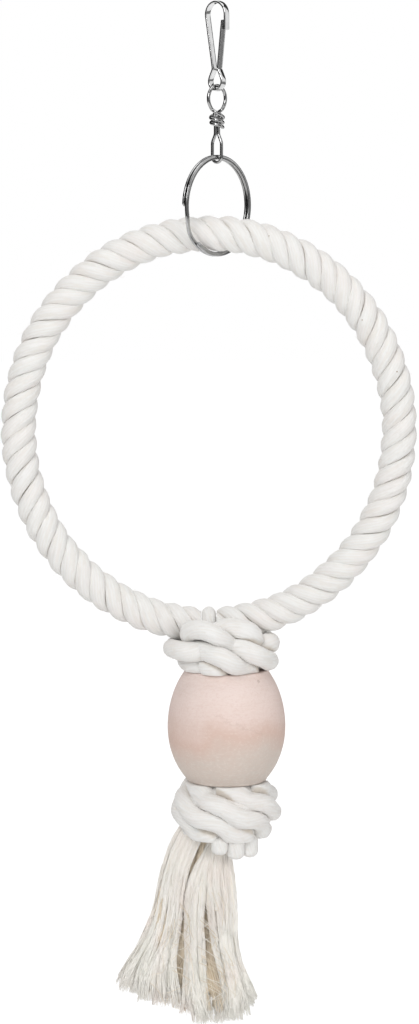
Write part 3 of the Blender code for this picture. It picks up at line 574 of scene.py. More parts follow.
def make_cotton():
    """Undyed cotton: fine fibres along each yarn, warmer patches, painted shade where strands press and in
    the grooves between yarns, and a few husk specks.
    """
    pale, warm, shade = (0.815, 0.81, 0.792), (0.81, 0.785, 0.765), (0.71, 0.695, 0.67)
    crease_shade, husk_brown = (0.70, 0.625, 0.53), (0.34, 0.25, 0.15)
    husk_radius, husk_choice = 0.045, 0.57
    finish = Finish("laid_cotton")
    fibres = finish.noise(finish.strand_place((62.0, 5.0, 1.0)), detail=4.0, roughness=0.65)
    strands = finish.noise(finish.strand_place((9.0, 0.9, 1.0)))
    patches = finish.noise(finish.object_place(), scale=75.0, detail=3.0)
    color = finish.tint(pale, warm, patches, (0.42, 0.0), (0.68, 1.0))
    color = finish.tint(color, shade, 0.6 * fibres + 0.4 * strands, (0.32, 0.6), (0.54, 0.0))
    # Painted shade where neighbours press a strand in and in the grooves between its yarns
    color = finish.mix(finish.crease() * (0.35 + 0.6 * strands), color, crease_shade)
    husk = finish.node("ShaderNodeTexVoronoi", {"feature": "F1"},
                       {"Vector": finish.object_place(), "Scale": 130.0}, output="Distance")
    chosen = finish.noise(finish.object_place(), scale=55.0, detail=0.0)
    color = finish.mix((husk < husk_radius) * (chosen > husk_choice), color, husk_brown)
    finish.set(Base_Color=color, Roughness=0.84 + 0.14 * fibres, Sheen_Weight=0.12, Sheen_Roughness=0.6)
    finish.bump(0.7 * fibres + 0.3 * strands, strength=0.6, distance=0.16 * MM)
    return finish.material


def make_yarn(name, least_shade):
    """Unlaid cotton yarn of the tassel: each yarn has its own tone, with fibres along it, rosy and mossy
    patches, painted shade at its top and painted light towards its ends. The second argument is the least
    share of the brownish painted shade of the inner yarns."""
    yarn_tones = ((0.0, (0.92, 0.875, 0.795)), (0.3, (0.955, 0.93, 0.885)),
                  (0.75, (0.97, 0.955, 0.92)), (1.0, (0.965, 0.93, 0.90)))
    painted_tip_light, rosy, mossy = (0.995, 0.975, 0.92), (0.965, 0.89, 0.84), (0.91, 0.905, 0.84)
    worn, painted_top_shade, inner = (0.82, 0.76, 0.665), (0.83, 0.79, 0.73), (0.77, 0.65, 0.48)
    finish = Finish(name)
    own_tone = finish.node("ShaderNodeNewGeometry", output="Random Per Island")
    fibres = finish.noise(finish.object_place((1.0, 1.0, 0.06)), scale=3200.0, detail=3.0, roughness=0.6)
    patches = finish.noise(finish.object_place((1.0, 1.0, 0.45)), scale=90.0)
    height = finish.split(finish.object_place())[2]
    fallen = (tassel_top_z - height) * (1 / TASSEL_FALL)
    color = finish.ramp(own_tone, *yarn_tones)
    # Painted light: paler towards the yarns' ends
    color = finish.tint(color, painted_tip_light, fallen, (0.4, 0.0), (0.85, 0.85))
    color = finish.tint(color, rosy, patches, (0.5, 0.0), (0.68, 0.75))
    color = finish.tint(color, mossy, patches, (0.32, 0.6), (0.46, 0.0))
    color = finish.tint(color, worn, fibres, (0.34, 0.3), (0.55, 0.0))
    # Painted shade: darker towards the tassel's top
    color = finish.tint(color, painted_top_shade, fallen, (0.1, 0.4), (0.45, 0.0))
    # Painted shade: the inner yarns, the lock cores and some stray threads are tinted brownish, as shade
    # between the locks
    color = finish.mix(finish.crease().at_least(least_shade), color, inner)
    finish.set(Base_Color=color, Roughness=0.82 + 0.15 * fibres, Sheen_Weight=0.1, Sheen_Roughness=0.6)
    finish.bump(fibres, strength=0.5, distance=0.08 * MM)
    return finish.material


def make_wood():
    """Pale turned wood with its grain lying across the bead: soft bands, darker below and paler above, partly
    the wood's own and partly painted shade and painted light, fine lines, pores and flecks, a short vein
    across the front and one dark speck. Places are in the bead's radii from its middle."""
    # From the bottom up: darker, grayer bands that are partly painted shade, a rosy band, and paler bands
    # that are partly painted light
    bands = ((0.05, (0.59, 0.525, 0.47)), (0.24, (0.625, 0.54, 0.48)), (0.44, (0.66, 0.485, 0.415)),
             (0.64, (0.76, 0.617, 0.565)), (0.95, (0.81, 0.68, 0.635)))
    line_tone, pore_tone, vein_tone = (0.645, 0.49, 0.41), (0.56, 0.41, 0.33), (0.50, 0.35, 0.29)
    rosy_fleck, pale_fleck, speck_tone = (0.62, 0.42, 0.35), (0.80, 0.70, 0.64), (0.40, 0.28, 0.22)
    band_tilt, band_drift, line_drift = 0.07, 0.45, 0.22
    vein_slope, vein_height, vein_wander, vein_fineness = 0.44, 0.234, 0.42, 38.0
    vein_left, vein_right = -0.22, 0.62
    speck_place, speck_radius, speck_share = (0.53, -0.55, 0.83), 0.028, 0.4
    finish = Finish("turned_wood")
    middle = (bead_low + bead_high) / 2
    place = finish.object_place((1 / bead_radius,) * 3, tuple(-axis / bead_radius for axis in middle))
    across, behind, height = finish.split(place)
    drift = finish.noise(place, scale=1.3)
    band = 0.5 + 0.5 * height - band_tilt * across + band_drift * (drift - 0.5)
    color = finish.ramp(band, *bands)
    shift = finish.node("ShaderNodeCombineXYZ", inputs={"Z": line_drift * drift})
    warped = finish.node("ShaderNodeVectorMath", {"operation": "ADD"}, {0: place, 1: shift})
    lines = finish.noise(finish.mapped(warped, (1.3, 5.0, 34.0)), detail=5.0, roughness=0.62)
    pores = finish.noise(finish.mapped(place, (11.0, 70.0, 110.0)), roughness=0.6)
    color = finish.tint(color, line_tone, lines, (0.34, 0.2), (0.56, 0.0))
    color = finish.tint(color, pore_tone, pores, (0.28, 0.3), (0.40, 0.0))
    wander = finish.noise(place, scale=5.0, detail=4.0, roughness=0.65)
    above = height + vein_slope * across - vein_height + vein_wander * (wander - 0.5)
    near = (1.0 - vein_fineness * abs(above)).at_least(0.0)
    vein = near * (across > vein_left) * (across < vein_right) * (behind < 0.0)
    color = finish.mix(vein * (0.05 + 0.4 * pores), color, vein_tone)
    flecks = finish.noise(finish.mapped(place, (16.0, 30.0, 26.0)), detail=3.0, roughness=0.7)
    color = finish.tint(color, rosy_fleck, flecks, (0.52, 0.0), (0.66, 0.22))
    color = finish.tint(color, pale_fleck, flecks, (0.34, 0.25), (0.46, 0.0))
    away = finish.node("ShaderNodeVectorMath", {"operation": "DISTANCE"}, {0: place, 1: speck_place},
                       output="Value")
    color = finish.mix(speck_share * (away < speck_radius), color, speck_tone)
    finish.set(Base_Color=color, Roughness=0.5 + 0.2 * lines)
    finish.bump(0.6 * lines + 0.4 * pores, strength=0.3, distance=0.12 * MM)
    return finish.material


# Lines and sections

def columns(*parts):
    """Points from their coordinates, each an array or one number for all."""
    return np.stack(np.broadcast_arrays(*parts), axis=-1)


def upright(pairs):
    """Points in the XZ plane, from (across, up) pairs."""
    return [(x, 0.0, z) for x, z in pairs]


def arc(center, radius, start, end, steps):
    """Points of an arc in a plane, as (across, up) pairs."""
    angles = [start + (end - start) * step / steps for step in range(steps + 1)]
    return [(center[0] + radius * math.cos(a), center[1] + radius * math.sin(a)) for a in angles]


def smooth_route(points, step):
    """A smooth curve through a route's own points, read off at an even step."""
    route = np.array([tuple(point) for point in points])
    padded = np.vstack([2 * route[0] - route[1], route, 2 * route[-1] - route[-2]])
    fine = []
    for before, start, end, after in zip(padded, padded[1:], padded[2:], padded[3:]):
        for t in np.linspace(0.0, 1.0, CURVE_STEPS, endpoint=False):
            fine.append(0.5 * (2 * start + (end - before) * t
                               + (2 * before - 5 * start + 4 * end - after) * t**2
                               + (3 * start - before - 3 * end + after) * t**3))
    fine.append(route[-1])
    return even_steps(np.array(fine), step)


def lengths_along(line):
    return np.concatenate([[0.0], np.cumsum(np.linalg.norm(np.diff(line, axis=0), axis=1))])


def from_ends(line):
    """Each point's way along a line to its nearer end."""
    lengths = lengths_along(line)
    return np.minimum(lengths, lengths[-1] - lengths)


def even_steps(line, step):
    """The same line with its points an even step apart."""
    lengths = lengths_along(line)
    count = max(2, round(lengths[-1] / step) + 1)
    wanted = np.linspace(0.0, lengths[-1], count)
    return columns(*(np.interp(wanted, lengths, line[:, axis]) for axis in range(3)))


def eased(line, rounds):
    """The same line with its corners rounded off, and its ends kept."""
    line = line.copy()
    for _ in range(rounds):
        line[1:-1] = (line[:-2] + 2 * line[1:-1] + line[2:]) / 4
    return line


def ease(share):
    """A smooth step from 0 to 1."""
    share = np.clip(share, 0.0, 1.0)
    return share * share * (3 - 2 * share)


def waves(along, table, turn=1):
    """A sum of waves, each with its height, its count and its phase, which is taken turn times."""
    return sum(height * np.sin(count * along + phase * turn) for height, count, phase in table)


def unit(vectors):
    return vectors / (np.linalg.norm(vectors, axis=-1, keepdims=True) + NO_LENGTH)


def turned(points, yaw):
    """Points turned round the upright axis."""
    c, s = math.cos(yaw), math.sin(yaw)
    return np.asarray(points) @ np.array(((c, s, 0.0), (-s, c, 0.0), (0.0, 0.0, 1.0)))


def steady_frames(line):
    """Two directions across a line at each point, which don't twist along it."""
    tangents = unit(np.gradient(line, axis=0))
    first = np.cross(tangents[0], (0.0, 1.0, 0.0) if abs(tangents[0][1]) < FRAME_SLOPE else (1.0, 0.0, 0.0))
    across = [unit(first)]
    for tangent in tangents[1:]:
        across.append(unit(across[-1] - tangent * across[-1].dot(tangent)))
    across = np.array(across)
    return across, np.cross(tangents, across)


def rounded_section(width, height, edge, corner_steps=4):
    """A rectangle with round corners, as (across, aside) pairs."""
    points = []
    for quarter, (sx, sy) in enumerate(((1, 1), (-1, 1), (-1, -1), (1, -1))):
        corner = (sx * (width / 2 - edge), sy * (height / 2 - edge))
        points += arc(corner, edge, quarter * math.pi / 2, (quarter + 1) * math.pi / 2, corner_steps)
    return np.array(points)


def swept(line, across, aside, section, scales):
    """Rows of points: a section carried along a line and scaled on its way."""
    across, aside = (np.broadcast_to(direction, line.shape)[:, None] for direction in (across, aside))
    offsets = section[None] * scales[:, None, None]
    return line[:, None] + across * offsets[..., :1] + aside * offsets[..., 1:]


def end_rounding(line, depth):
    """A scale along a line that closes both of its ends in a round."""
    short = np.clip(1 - from_ends(line) / depth, 0.0, 1.0)
    return np.sqrt(1 - (END_CLOSING * short) ** 2)


# Meshes and pieces

def mesh_from(name, bm, sharp_angle=SHARP_ANGLE):
    bmesh.ops.recalc_face_normals(bm, faces=bm.faces)
    mesh = bpy.data.meshes.new(name)
    bm.to_mesh(mesh)
    bm.free()
    mesh.shade_smooth()
    mesh.set_sharp_from_angle(angle=sharp_angle)
    return mesh


def rolled_grid(name, points, size=(1.0, 1.0), cuts=(), sharp_angle=SHARP_ANGLE, painted_shade_shares=None):
    """A closed tube: a grid rolled up round its rows of points, with its seam merged and its ends filled.

    size is the UV map's extent round the tube and along it. Each cut is a range of rows, a place and a
    direction, and takes off what lies past that plane. The last argument holds the share of painted shade at
    each point.
    """
    along, around = len(points) - 1, len(points[0])
    bm = bmesh.new()
    uv = bm.loops.layers.uv.new(UV_NAME)
    bmesh.ops.create_grid(bm, x_segments=around, y_segments=along, size=1.0, calc_uvs=True)
    for face in bm.faces:
        for loop in face.loops:
            loop[uv].uv = (loop[uv].uv.x * size[0], loop[uv].uv.y * size[1])
    crease = bm.verts.layers.float.new(PAINTED_SHADE_NAME)
    row_of = {}
    for vert in bm.verts:
        row = round((vert.co.y + 1) / 2 * along)
        column = round((vert.co.x + 1) / 2 * around) % around
        row_of[vert] = row
        vert.co = points[row][column]
        if painted_shade_shares is not None:
            vert[crease] = painted_shade_shares[row][column]
    for rows, place, direction in cuts:
        verts = [vert for vert in bm.verts if row_of.get(vert, -1) in rows]
        part = set(verts)
        edges = [edge for edge in bm.edges if part.issuperset(edge.verts)]
        faces = [face for face in bm.faces if part.issuperset(face.verts)]
        bmesh.ops.bisect_plane(bm, geom=verts + edges + faces, dist=CUT_TOLERANCE, plane_co=place,
                               plane_no=direction, clear_outer=True)
    bmesh.ops.remove_doubles(bm, verts=[vert for vert in bm.verts if vert.is_boundary], dist=MERGE_DISTANCE)
    bmesh.ops.holes_fill(bm, edges=[edge for edge in bm.edges if edge.is_boundary], sides=0)
    return mesh_from(name, bm, sharp_angle)


def tuft_mesh(name, lines, widths):
    """Many thin four-sided tubes as one mesh. widths holds each tube's diameter at its points."""
    curve = bpy.data.curves.new(name, "CURVE")
    curve.dimensions = "3D"
    curve.bevel_depth = 0.5
    curve.bevel_resolution = 0
    curve.use_fill_caps = True
    for line, width in zip(lines, widths):
        spline = curve.splines.new("POLY")
        spline.points.add(len(line) - 1)
        spline.use_smooth = True
        spline.points.foreach_set("co", np.hstack([line, np.ones((len(line), 1))]).ravel())
        spline.points.foreach_set("radius", width)
    holder = bpy.data.objects.new(name, curve)
    bpy.context.collection.objects.link(holder)
    shape = holder.evaluated_get(bpy.context.evaluated_depsgraph_get())
    bm = bmesh.new()
    bm.from_mesh(bpy.data.meshes.new_from_object(shape))
    bpy.data.objects.remove(holder)
    bpy.data.curves.remove(curve)
    bmesh.ops.remove_doubles(bm, verts=bm.verts, dist=MERGE_DISTANCE)
    return mesh_from(name, bm, SMOOTH_ALL)


def add_piece(name, mesh, finish, body, nodes=()):
    """Links a piece, which rides on a body and stands for its CAD nodes."""
    piece = bpy.data.objects.new(name, mesh)
    mesh.materials.append(finish)
    bpy.context.collection.objects.link(piece)
    if body:
        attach(piece, body)
    if nodes:
        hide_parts(*nodes)
    return piece


def add_fitting(name, points, nickel, body, node):
    """A metal piece from its rows of points."""
    add_piece(name, rolled_grid(name, points), nickel, body, (node,))


# Fittings

def add_strip(name, path, nickel, body, node):
    """A flat strip bent along an (across, up) path in the hook's plane."""
    line = eased(even_steps(np.array(upright(path)), STRIP_STEP), STRIP_EASING)
    aside = np.array((0.0, 1.0, 0.0))
    across = np.cross(aside, unit(np.gradient(line, axis=0)))
    section = rounded_section(STRIP_THICKNESS, STRIP_WIDTH, STRIP_EDGE)
    points = swept(line, across, aside, section, end_rounding(line, STRIP_EDGE / 2))
    add_fitting(name, turned(points, -HOOK_YAW), nickel, body, node)


def make_snap_hook(nickel):
    tangent = (math.atan2(WAIST_RISE, WAIST_HALF_WIDTH)
               - math.acos(POCKET_RADIUS / math.hypot(WAIST_RISE, WAIST_HALF_WIDTH)))
    root = (WAIST_HALF_WIDTH, waist_z)
    path = [(HOOK_RADIUS, nose_z)]
    path += arc((0.0, hook_arc_z), HOOK_RADIUS, 0.0, math.pi, 2 * LOOP_STEPS)
    path.append((-WAIST_HALF_WIDTH, waist_z))
    path += arc((0.0, pocket_z), POCKET_RADIUS, math.pi - tangent, FULL_TURN + tangent, 2 * LOOP_STEPS)
    path.append(root)
    add_strip("snap_hook_strip", path, nickel, "snap_hook", "snap_hook_body")
    tip = (HOOK_RADIUS - STRIP_THICKNESS - GATE_PLAY, gate_tip_z)
    add_strip("snap_hook_spring_gate", [root, tip], nickel, "gate", "snap_hook_gate")


def add_wire(name, line, diameter, nickel, body, node):
    angles = np.linspace(0.0, FULL_TURN, WIRE_SIDES, endpoint=False)
    section = columns(np.cos(angles), np.sin(angles)) * diameter / 2
    points = swept(line, *steady_frames(line), section, end_rounding(line, diameter * WIRE_END))
    add_fitting(name, points, nickel, body, node)


def wrap_points(start_angle, turns):
    """One end of the eye's wire, winding down round the shank from the crossing."""
    steps = round(turns * LOOP_STEPS / 2)
    points = []
    for step in range(1, steps + 1):
        turn = turns * step / steps
        radius = wrap_radius + WRAP_FLARE * max(0.0, 1.0 - 2.0 * turn)
        angle = start_angle + FULL_TURN * turn
        rise = CROSSING_RISE * max(0.0, 1.0 - turn / CROSSING_TURN) ** 2
        height = crossing_z - wrap_pitch * turn + rise
        points.append((radius * math.cos(angle), radius * math.sin(angle), height))
    return points


def make_swivel(nickel):
    """The eye, whose two ends wind round the shank, and the shank, bent like a hairpin with a lower loop."""
    side = wrap_radius + WRAP_FLARE
    cross_z = crossing_z + CROSSING_RISE
    loop = arc((0.0, eye_z), EYE_RADIUS, -EYE_LOW_ANGLE, math.pi + EYE_LOW_ANGLE, LOOP_STEPS // 2)
    route = wrap_points(math.pi, FRONT_WRAP_TURNS)[::-1]
    route += upright([(-side, cross_z)] + loop[::-1] + [(side, cross_z)])
    route += wrap_points(0.0, BACK_WRAP_TURNS)
    line = turned(smooth_route(route, EYE_WIRE * WIRE_STEP), math.pi / 2 - HOOK_YAW)
    add_wire("swivel_eye_wire", line, EYE_WIRE, nickel, "swivel_eye", "swivel_eye")

    loop_half = (2 * SPLIT_WIRE_DEPTH + TURN_GAP) / 2 + LINK_PLAY + SHANK_WIRE / 2
    loop_z = shank_bottom_z + loop_half
    tip_z = crossing_z + SHANK_TIP_RISE
    neck_z = crossing_z - SHANK_NECK
    heights = np.linspace(tip_z, loop_z, SHANK_STEPS, endpoint=False)
    spread = SHANK_TIP_SPREAD * ease((heights - tip_z) / SHANK_TIP_LENGTH + 1)
    widening = (loop_half - shank_half) * ease((neck_z - heights) / SHANK_SHOULDER)
    leg = list(zip(shank_half + spread + widening, heights))
    bend = arc((0.0, loop_z), loop_half, 0.0, -math.pi, LOOP_STEPS)
    route = np.array(upright(leg + bend + [(-x, z) for x, z in leg[::-1]]))
    line = turned(even_steps(route, SHANK_WIRE * WIRE_STEP), SPLIT_RING_YAW - math.pi / 2)
    add_wire("swivel_shank_wire", line, SHANK_WIRE, nickel, "swivel_shank", "swivel_shank")


def make_split_ring(nickel):
    """Two turns side by side, with one short crossing from the first to the second."""
    pitch = SPLIT_WIRE_DEPTH + TURN_GAP
    angles = np.linspace(SPLIT_END_GAP, 2 * FULL_TURN - SPLIT_CROSSING - SPLIT_END_GAP, SPLIT_STEPS)
    shift = pitch * (ease((angles - FULL_TURN) / SPLIT_CROSSING + 1) - 0.5)
    around = angles + SPLIT_CROSSING_AT + SPLIT_CROSSING / 2
    out = columns(np.cos(around), 0.0, np.sin(around))
    line = out * (split_inner_radius + SPLIT_WIRE_HEIGHT / 2) + columns(0.0, shift, 0.0)
    section = rounded_section(SPLIT_WIRE_HEIGHT, SPLIT_WIRE_DEPTH, SPLIT_WIRE_EDGE)
    points = swept(line, out, (0.0, 1.0, 0.0), section, end_rounding(line, SPLIT_WIRE_END))
    points = turned(points, SPLIT_RING_YAW) + (0.0, 0.0, split_ring_z)
    add_fitting("split_ring_coil", points, nickel, "split_ring", "split_ring")


# Cotton strands

def press_limits(centers, directions, others, gains=None):
    """How far each direction reaches from its centre before it meets another strand's side.

    gains holds, for each point of the others' lines, how much its squared radius exceeds a strand's.
    """
    limits = np.full(directions.shape[:2], UNPRESSED)
    for row, center in enumerate(centers):
        away = others[row] - center
        near = np.linalg.norm(away, axis=1) < PRESS_RANGE
        if not near.any():
            continue
        away = away[near]
        squared = (away ** 2).sum(axis=1) - (0.0 if gains is None else gains[row][near])
        facing = directions[row] @ away.T
        reach = squared[None] / (2 * np.maximum(facing, TINY))
        limits[row] = np.where(facing > TINY, reach, UNPRESSED).min(axis=1)
    return limits


def softly_least(first, second):
    """The lesser of two reaches, with the corner between them rounded."""
    least = np.minimum(first, second)
    rest = np.exp(-np.abs(first - second) / PRESS_SOFTNESS)
    return least - PRESS_SOFTNESS * np.log1p(rest)


def yarn_relief(rows):
    """The grooves between a strand's yarns, and each yarn's own slow swelling, as radial offsets."""
    share = np.linspace(0.0, 1.0, rows)[:, None]
    swelling = np.zeros((rows, YARNS))
    for per_row in YARN_WAVES_PER_ROW:
        phase = random.uniform(0.0, FULL_TURN, YARNS)
        swelling += np.sin(FULL_TURN * per_row * rows * share + phase) * YARN_UNEVENNESS / 2
    relief = np.repeat(swelling, YARN_COLUMNS, axis=1)
    relief[:, ::YARN_COLUMNS] -= YARN_GROOVE
    return relief


def yarn_angles(line):
    """Angles round a strand of its columns, which turn with the yarns against the rope's lay."""
    around = np.arange(YARNS * YARN_COLUMNS) / (YARNS * YARN_COLUMNS) * FULL_TURN
    return around[None] - FULL_TURN * lengths_along(line)[:, None] / YARN_TURN_LENGTH


def add_strand(name, node, body, cotton, line, frames, reach, limits=None, cuts=(), keep=None):
    """A strand of yarns round a line, as far as its reach and its neighbours let it swell.

    limits gives the reach that the neighbours leave in each direction and at each angle. keep puts the
    points back that have come too near to a solid.
    """
    angles = yarn_angles(line)
    across, aside = frames
    directions = across[:, None] * np.cos(angles)[..., None] + aside[:, None] * np.sin(angles)[..., None]
    reach = pressed = np.broadcast_to(np.reshape(reach, (-1, 1)), angles.shape)
    if limits:
        pressed = softly_least(reach, limits(directions, angles) + PRESS_OVERLAP)
    relief = yarn_relief(len(line))
    points = line[:, None] + directions * np.maximum(pressed + relief, STRAND_LEAST)[..., None]
    if keep:
        points = keep(points)
    # Painted shade: full where neighbours press the strand in by the crease depth, and a share in the grooves
    # between yarns
    painted_shade_shares = ease((reach - pressed) / CREASE_DEPTH) + GROOVE_SHADE * (relief < -YARN_GROOVE / 2)
    size = (FULL_TURN * strand_radius / UV_UNIT, lengths_along(line)[-1] / UV_UNIT)
    mesh = rolled_grid(name, points, size, cuts, SMOOTH_ALL, np.minimum(painted_shade_shares, 1.0))
    add_piece(name, mesh, cotton, body, (node,))
    return mesh


# Rope ring and drop rope

def ring_points(angle):
    """Points on the rope ring's middle line, by the angle from its lowest point."""
    offset = columns(ring_half_width * np.sin(angle), 0.0, -ring_half_height * np.cos(angle))
    return offset + np.array(ring_middle)


def laid_limits(offset, lay_length, drawn_in=1.0):
    """A function that gives the reach that its two neighbours leave to a strand of a laid rope."""
    rise = lay_length / FULL_TURN
    turns = np.linspace(-FULL_TURN, FULL_TURN, LAID_SAMPLES)
    others = []
    for side in (-1, 1):
        angle = turns + side * FULL_TURN / STRANDS
        others.append(columns(offset * np.cos(angle), offset * np.sin(angle), rise * turns))
    tangent = unit(np.array((0.0, offset, rise)))
    outward = np.array((1.0, 0.0, 0.0))
    steps = np.linspace(0.0, FULL_TURN, LAID_ANGLES)
    directions = outward * np.cos(steps)[:, None] + np.cross(tangent, outward) * np.sin(steps)[:, None]
    table = press_limits(offset * outward[None], directions[None], [np.vstack(others)])[0]

    def limits(directions, angles):
        return np.interp(np.mod(angles, FULL_TURN), steps, table) * drawn_in

    return limits


def laid_strand_line(centers, out, back, angle, offset):
    """One strand's line round a rope's line, and its frame of an outward and a sideways direction."""
    outward = np.array(out) * np.cos(angle)[:, None] + np.array(back) * np.sin(angle)[:, None]
    line = centers + outward * np.reshape(offset, (-1, 1))
    tangents = unit(np.gradient(line, axis=0))
    outward = unit(outward - tangents * (outward * tangents).sum(axis=1)[:, None])
    return line, (outward, np.cross(tangents, outward))


def make_ring_rope(cotton):
    """Three strands laid round the ring, drawn in and cut off beside the hitch at the bottom."""
    length = math.pi * (ring_half_width + ring_half_height)
    overhang = (SLOT_OVERHANG - SLOT_HALF) / length
    turns = np.linspace(-SLOT_OVERHANG / length, 1 + SLOT_OVERHANG / length, LAY_TURNS * ROWS_PER_LAY + 1)
    turns = turns[(turns > -overhang) & (turns < 1 + overhang)]
    angle = FULL_TURN * turns
    out = unit(columns(np.sin(angle) / ring_half_width, 0.0, -np.cos(angle) / ring_half_height))
    from_slot = np.minimum(turns, 1 - turns) * length - SLOT_HALF
    drawn_in = 1 - SLOT_DRAW_IN * (1 - ease(from_slot / SLOT_DRAW_LENGTH))
    offset = STRAND_OFFSET * drawn_in * (1 + waves(angle, LAY_UNEVENNESS))
    limits = laid_limits(STRAND_OFFSET, length / LAY_TURNS, drawn_in[:, None])
    rows = range(len(turns))
    eighth = len(turns) // 8
    cuts = ((rows[:eighth], (ring_middle.x + SLOT_HALF, 0.0, 0.0), (-1.0, 0.0, 0.0)),
            (rows[-eighth:], (ring_middle.x - SLOT_HALF, 0.0, 0.0), (1.0, 0.0, 0.0)))
    meshes = []
    for index in range(STRANDS):
        lay = FULL_TURN * (LAY_TURNS * turns + (index + 0.5) / STRANDS) + waves(angle, LAY_SWAY, index)
        line, frames = laid_strand_line(ring_points(angle), out, (0.0, 1.0, 0.0), lay, offset)
        swelling = 1 + waves(angle, RING_STRAND_WAVES, index)
        reach = (ROPE_RADIUS - STRAND_OFFSET) * drawn_in * swelling
        meshes.append(add_strand(f"ring_strand_{index + 1}", "ring_rope", "rope_ring", cotton, line, frames,
                                 reach, limits, cuts))
    return meshes


def make_drop_rope(cotton):
    """The laid rope that runs through the bead and both knots."""
    scale = drop_rope_radius / ROPE_RADIUS
    offset = STRAND_OFFSET * scale
    heights = np.arange(drop_high.z, drop_low.z, -DROP_ROW)
    limits = laid_limits(offset, DROP_LAY)
    for index in range(STRANDS):
        lay = FULL_TURN * ((drop_high.z - heights) / DROP_LAY + index / STRANDS)
        line, frames = laid_strand_line(columns(drop_x, 0.0, heights), (1.0, 0.0, 0.0), (0.0, -1.0, 0.0),
                                        lay, offset)
        add_strand(f"drop_rope_strand_{index + 1}", "drop_rope", "drop", cotton, line, frames,
                   (ROPE_RADIUS - STRAND_OFFSET) * scale, limits)


# Knots

def settle(routes, spacing, push_out, pinned=()):
    """Pushes strands apart until they clear each other and the solids round them. pinned marks the points
    of the first route that stay where they are."""
    counts = [len(route) for route in routes]
    points = np.vstack(routes)
    home = points.copy()
    fixed = np.zeros(len(points), bool)
    fixed[:len(pinned)] = pinned
    strand = np.repeat(np.arange(len(routes)), counts)
    order = np.arange(len(points))
    along = np.abs(order[:, None] - order[None]) * spacing * SETTLE_STEP
    apart = (strand[:, None] != strand[None]) | (along > SELF_REACH * spacing)
    inner = (strand[:-2] == strand[1:-1]) & (strand[1:-1] == strand[2:])
    for turn in range(SETTLE_ROUNDS):
        easing = SETTLE_EASING[0] if turn < SETTLE_ROUNDS / 2 else SETTLE_EASING[1]
        shift = points - home
        shift[1:-1] += easing * ((shift[:-2] + shift[2:]) / 2 - shift[1:-1]) * inner[:, None]
        points = home + shift
        between = points[:, None] - points[None]
        distance = np.linalg.norm(between, axis=2) + TINY
        short = np.where(apart & (distance < spacing), spacing - distance, 0.0)
        crowd = np.maximum(1.0, (short > 0).sum(axis=1))
        push = (between * (short / distance / 2)[..., None]).sum(axis=1) / crowd[:, None]
        points = push_out(points + push * SETTLE_PUSH)
        points[fixed] = home[fixed]
    return np.split(points, np.cumsum(counts)[:-1])


def push_from_axis(points, radius, low, high):
    """Moves points out of an upright cylinder round the drop's axis between two heights."""
    offset = points[:, :2] - (drop_x, 0.0)
    reach = np.linalg.norm(offset, axis=1) + TINY
    inside = (reach < radius) & (points[:, 2] > low) & (points[:, 2] < high)
    scale = np.where(inside, radius / reach, 1.0)
    points[:, :2] = offset * scale[:, None] + (drop_x, 0.0)
    return points


def push_from_rope_ring(points, radius):
    """Moves points out of the tube of the rope ring."""
    line = ring_points(np.arctan2((points[:, 0] - ring_middle.x) / ring_half_width,
                                  -(points[:, 2] - ring_middle.z) / ring_half_height))
    offset = points - line
    reach = np.linalg.norm(offset, axis=1) + TINY
    return line + offset * np.maximum(1.0, radius / reach)[:, None]


def round_drop(azimuth, radius, height):
    """A point round the drop's axis: 180 degrees is left, 270 front and 0 right."""
    angle = math.radians(azimuth)
    return (drop_x + radius * math.cos(angle), radius * math.sin(angle), height)


def hitch_point(angle, radius):
    """A point round the core wire where the hitch strand crosses it: 0 is on top, 90 in front."""
    turn = math.radians(angle)
    return (ring_middle.x, -radius * math.sin(turn), rope_bottom_z + radius * math.cos(turn))


def knot_points(route):
    return [round_drop(azimuth, reach * MM, rope_bottom_z - drop * MM) for azimuth, reach, drop in route]


def hitch_route():
    """The strand that goes over the ring's core wire and down in front of it and behind it."""
    over = CORE_WIRE / 2 + 2 * CLEARANCE + HITCH_DIAMETER / 2
    past = ROPE_RADIUS + KNOT_GAP + strand_radius
    front = [hitch_point(angle, over) for angle in HITCH_OVER]
    front += [hitch_point(HITCH_LEAVING, (over + past) / 2), hitch_point(HITCH_OUTSIDE, past)]
    back = [(x, -y, z) for x, y, z in front[::-1]]
    return knot_points(HITCH_BACK) + back + [hitch_point(0, over)] + front + knot_points(HITCH_FRONT)


def from_core(points):
    """Distances from the core wire's line under the hitch, as seen along it."""
    return np.hypot(points[:, 1], points[:, 2] - rope_bottom_z)


def upper_knot_lines():
    routes = [hitch_route()] + [knot_points(route) for route in UPPER_STRAND_ROUTES]
    routes = [smooth_route(route, STRAND_DIAMETER * SETTLE_STEP) for route in routes]
    over_ring = np.abs(routes[0][:, 0] - ring_middle.x) < CLEARANCE
    pinned = over_ring & (from_core(routes[0]) < ROPE_RADIUS + strand_radius)

    def push_out(points):
        free = np.abs(points[:, 0] - ring_middle.x) > CLEARANCE
        clear = push_from_rope_ring(points, ROPE_RADIUS + strand_radius + KNOT_GAP)
        points = np.where(free[:, None], clear, points)
        points = push_from_axis(points, drop_rope_radius + strand_radius + CLEARANCE,
                                bead_high.z, drop_high.z + strand_radius)
        points[:, 2] = np.maximum(points[:, 2], bead_high.z + CLEARANCE + strand_radius)
        return points

    return settle(routes, STRAND_DIAMETER + KNOT_GAP, push_out, pinned)


def lower_knot_heights():
    """The strands' highest and lowest lines in the lower knot."""
    top = bead_low.z - CLEARANCE
    return top - strand_radius, top - LOWER_KNOT_HEIGHT + strand_radius


def lower_core_reach():
    """The radius of the lower knot's CAD core, clear of the strands at its upper and lower edges."""
    top, bottom = lower_knot_heights()
    share = (strand_radius + KNOT_GAP) / (top - bottom)
    draw_in = LOWER_KNOT_DRAW_IN * (1 - 2 * share) ** 2
    return LOWER_KNOT_RADIUS - draw_in - STRAND_DIAMETER - KNOT_GAP


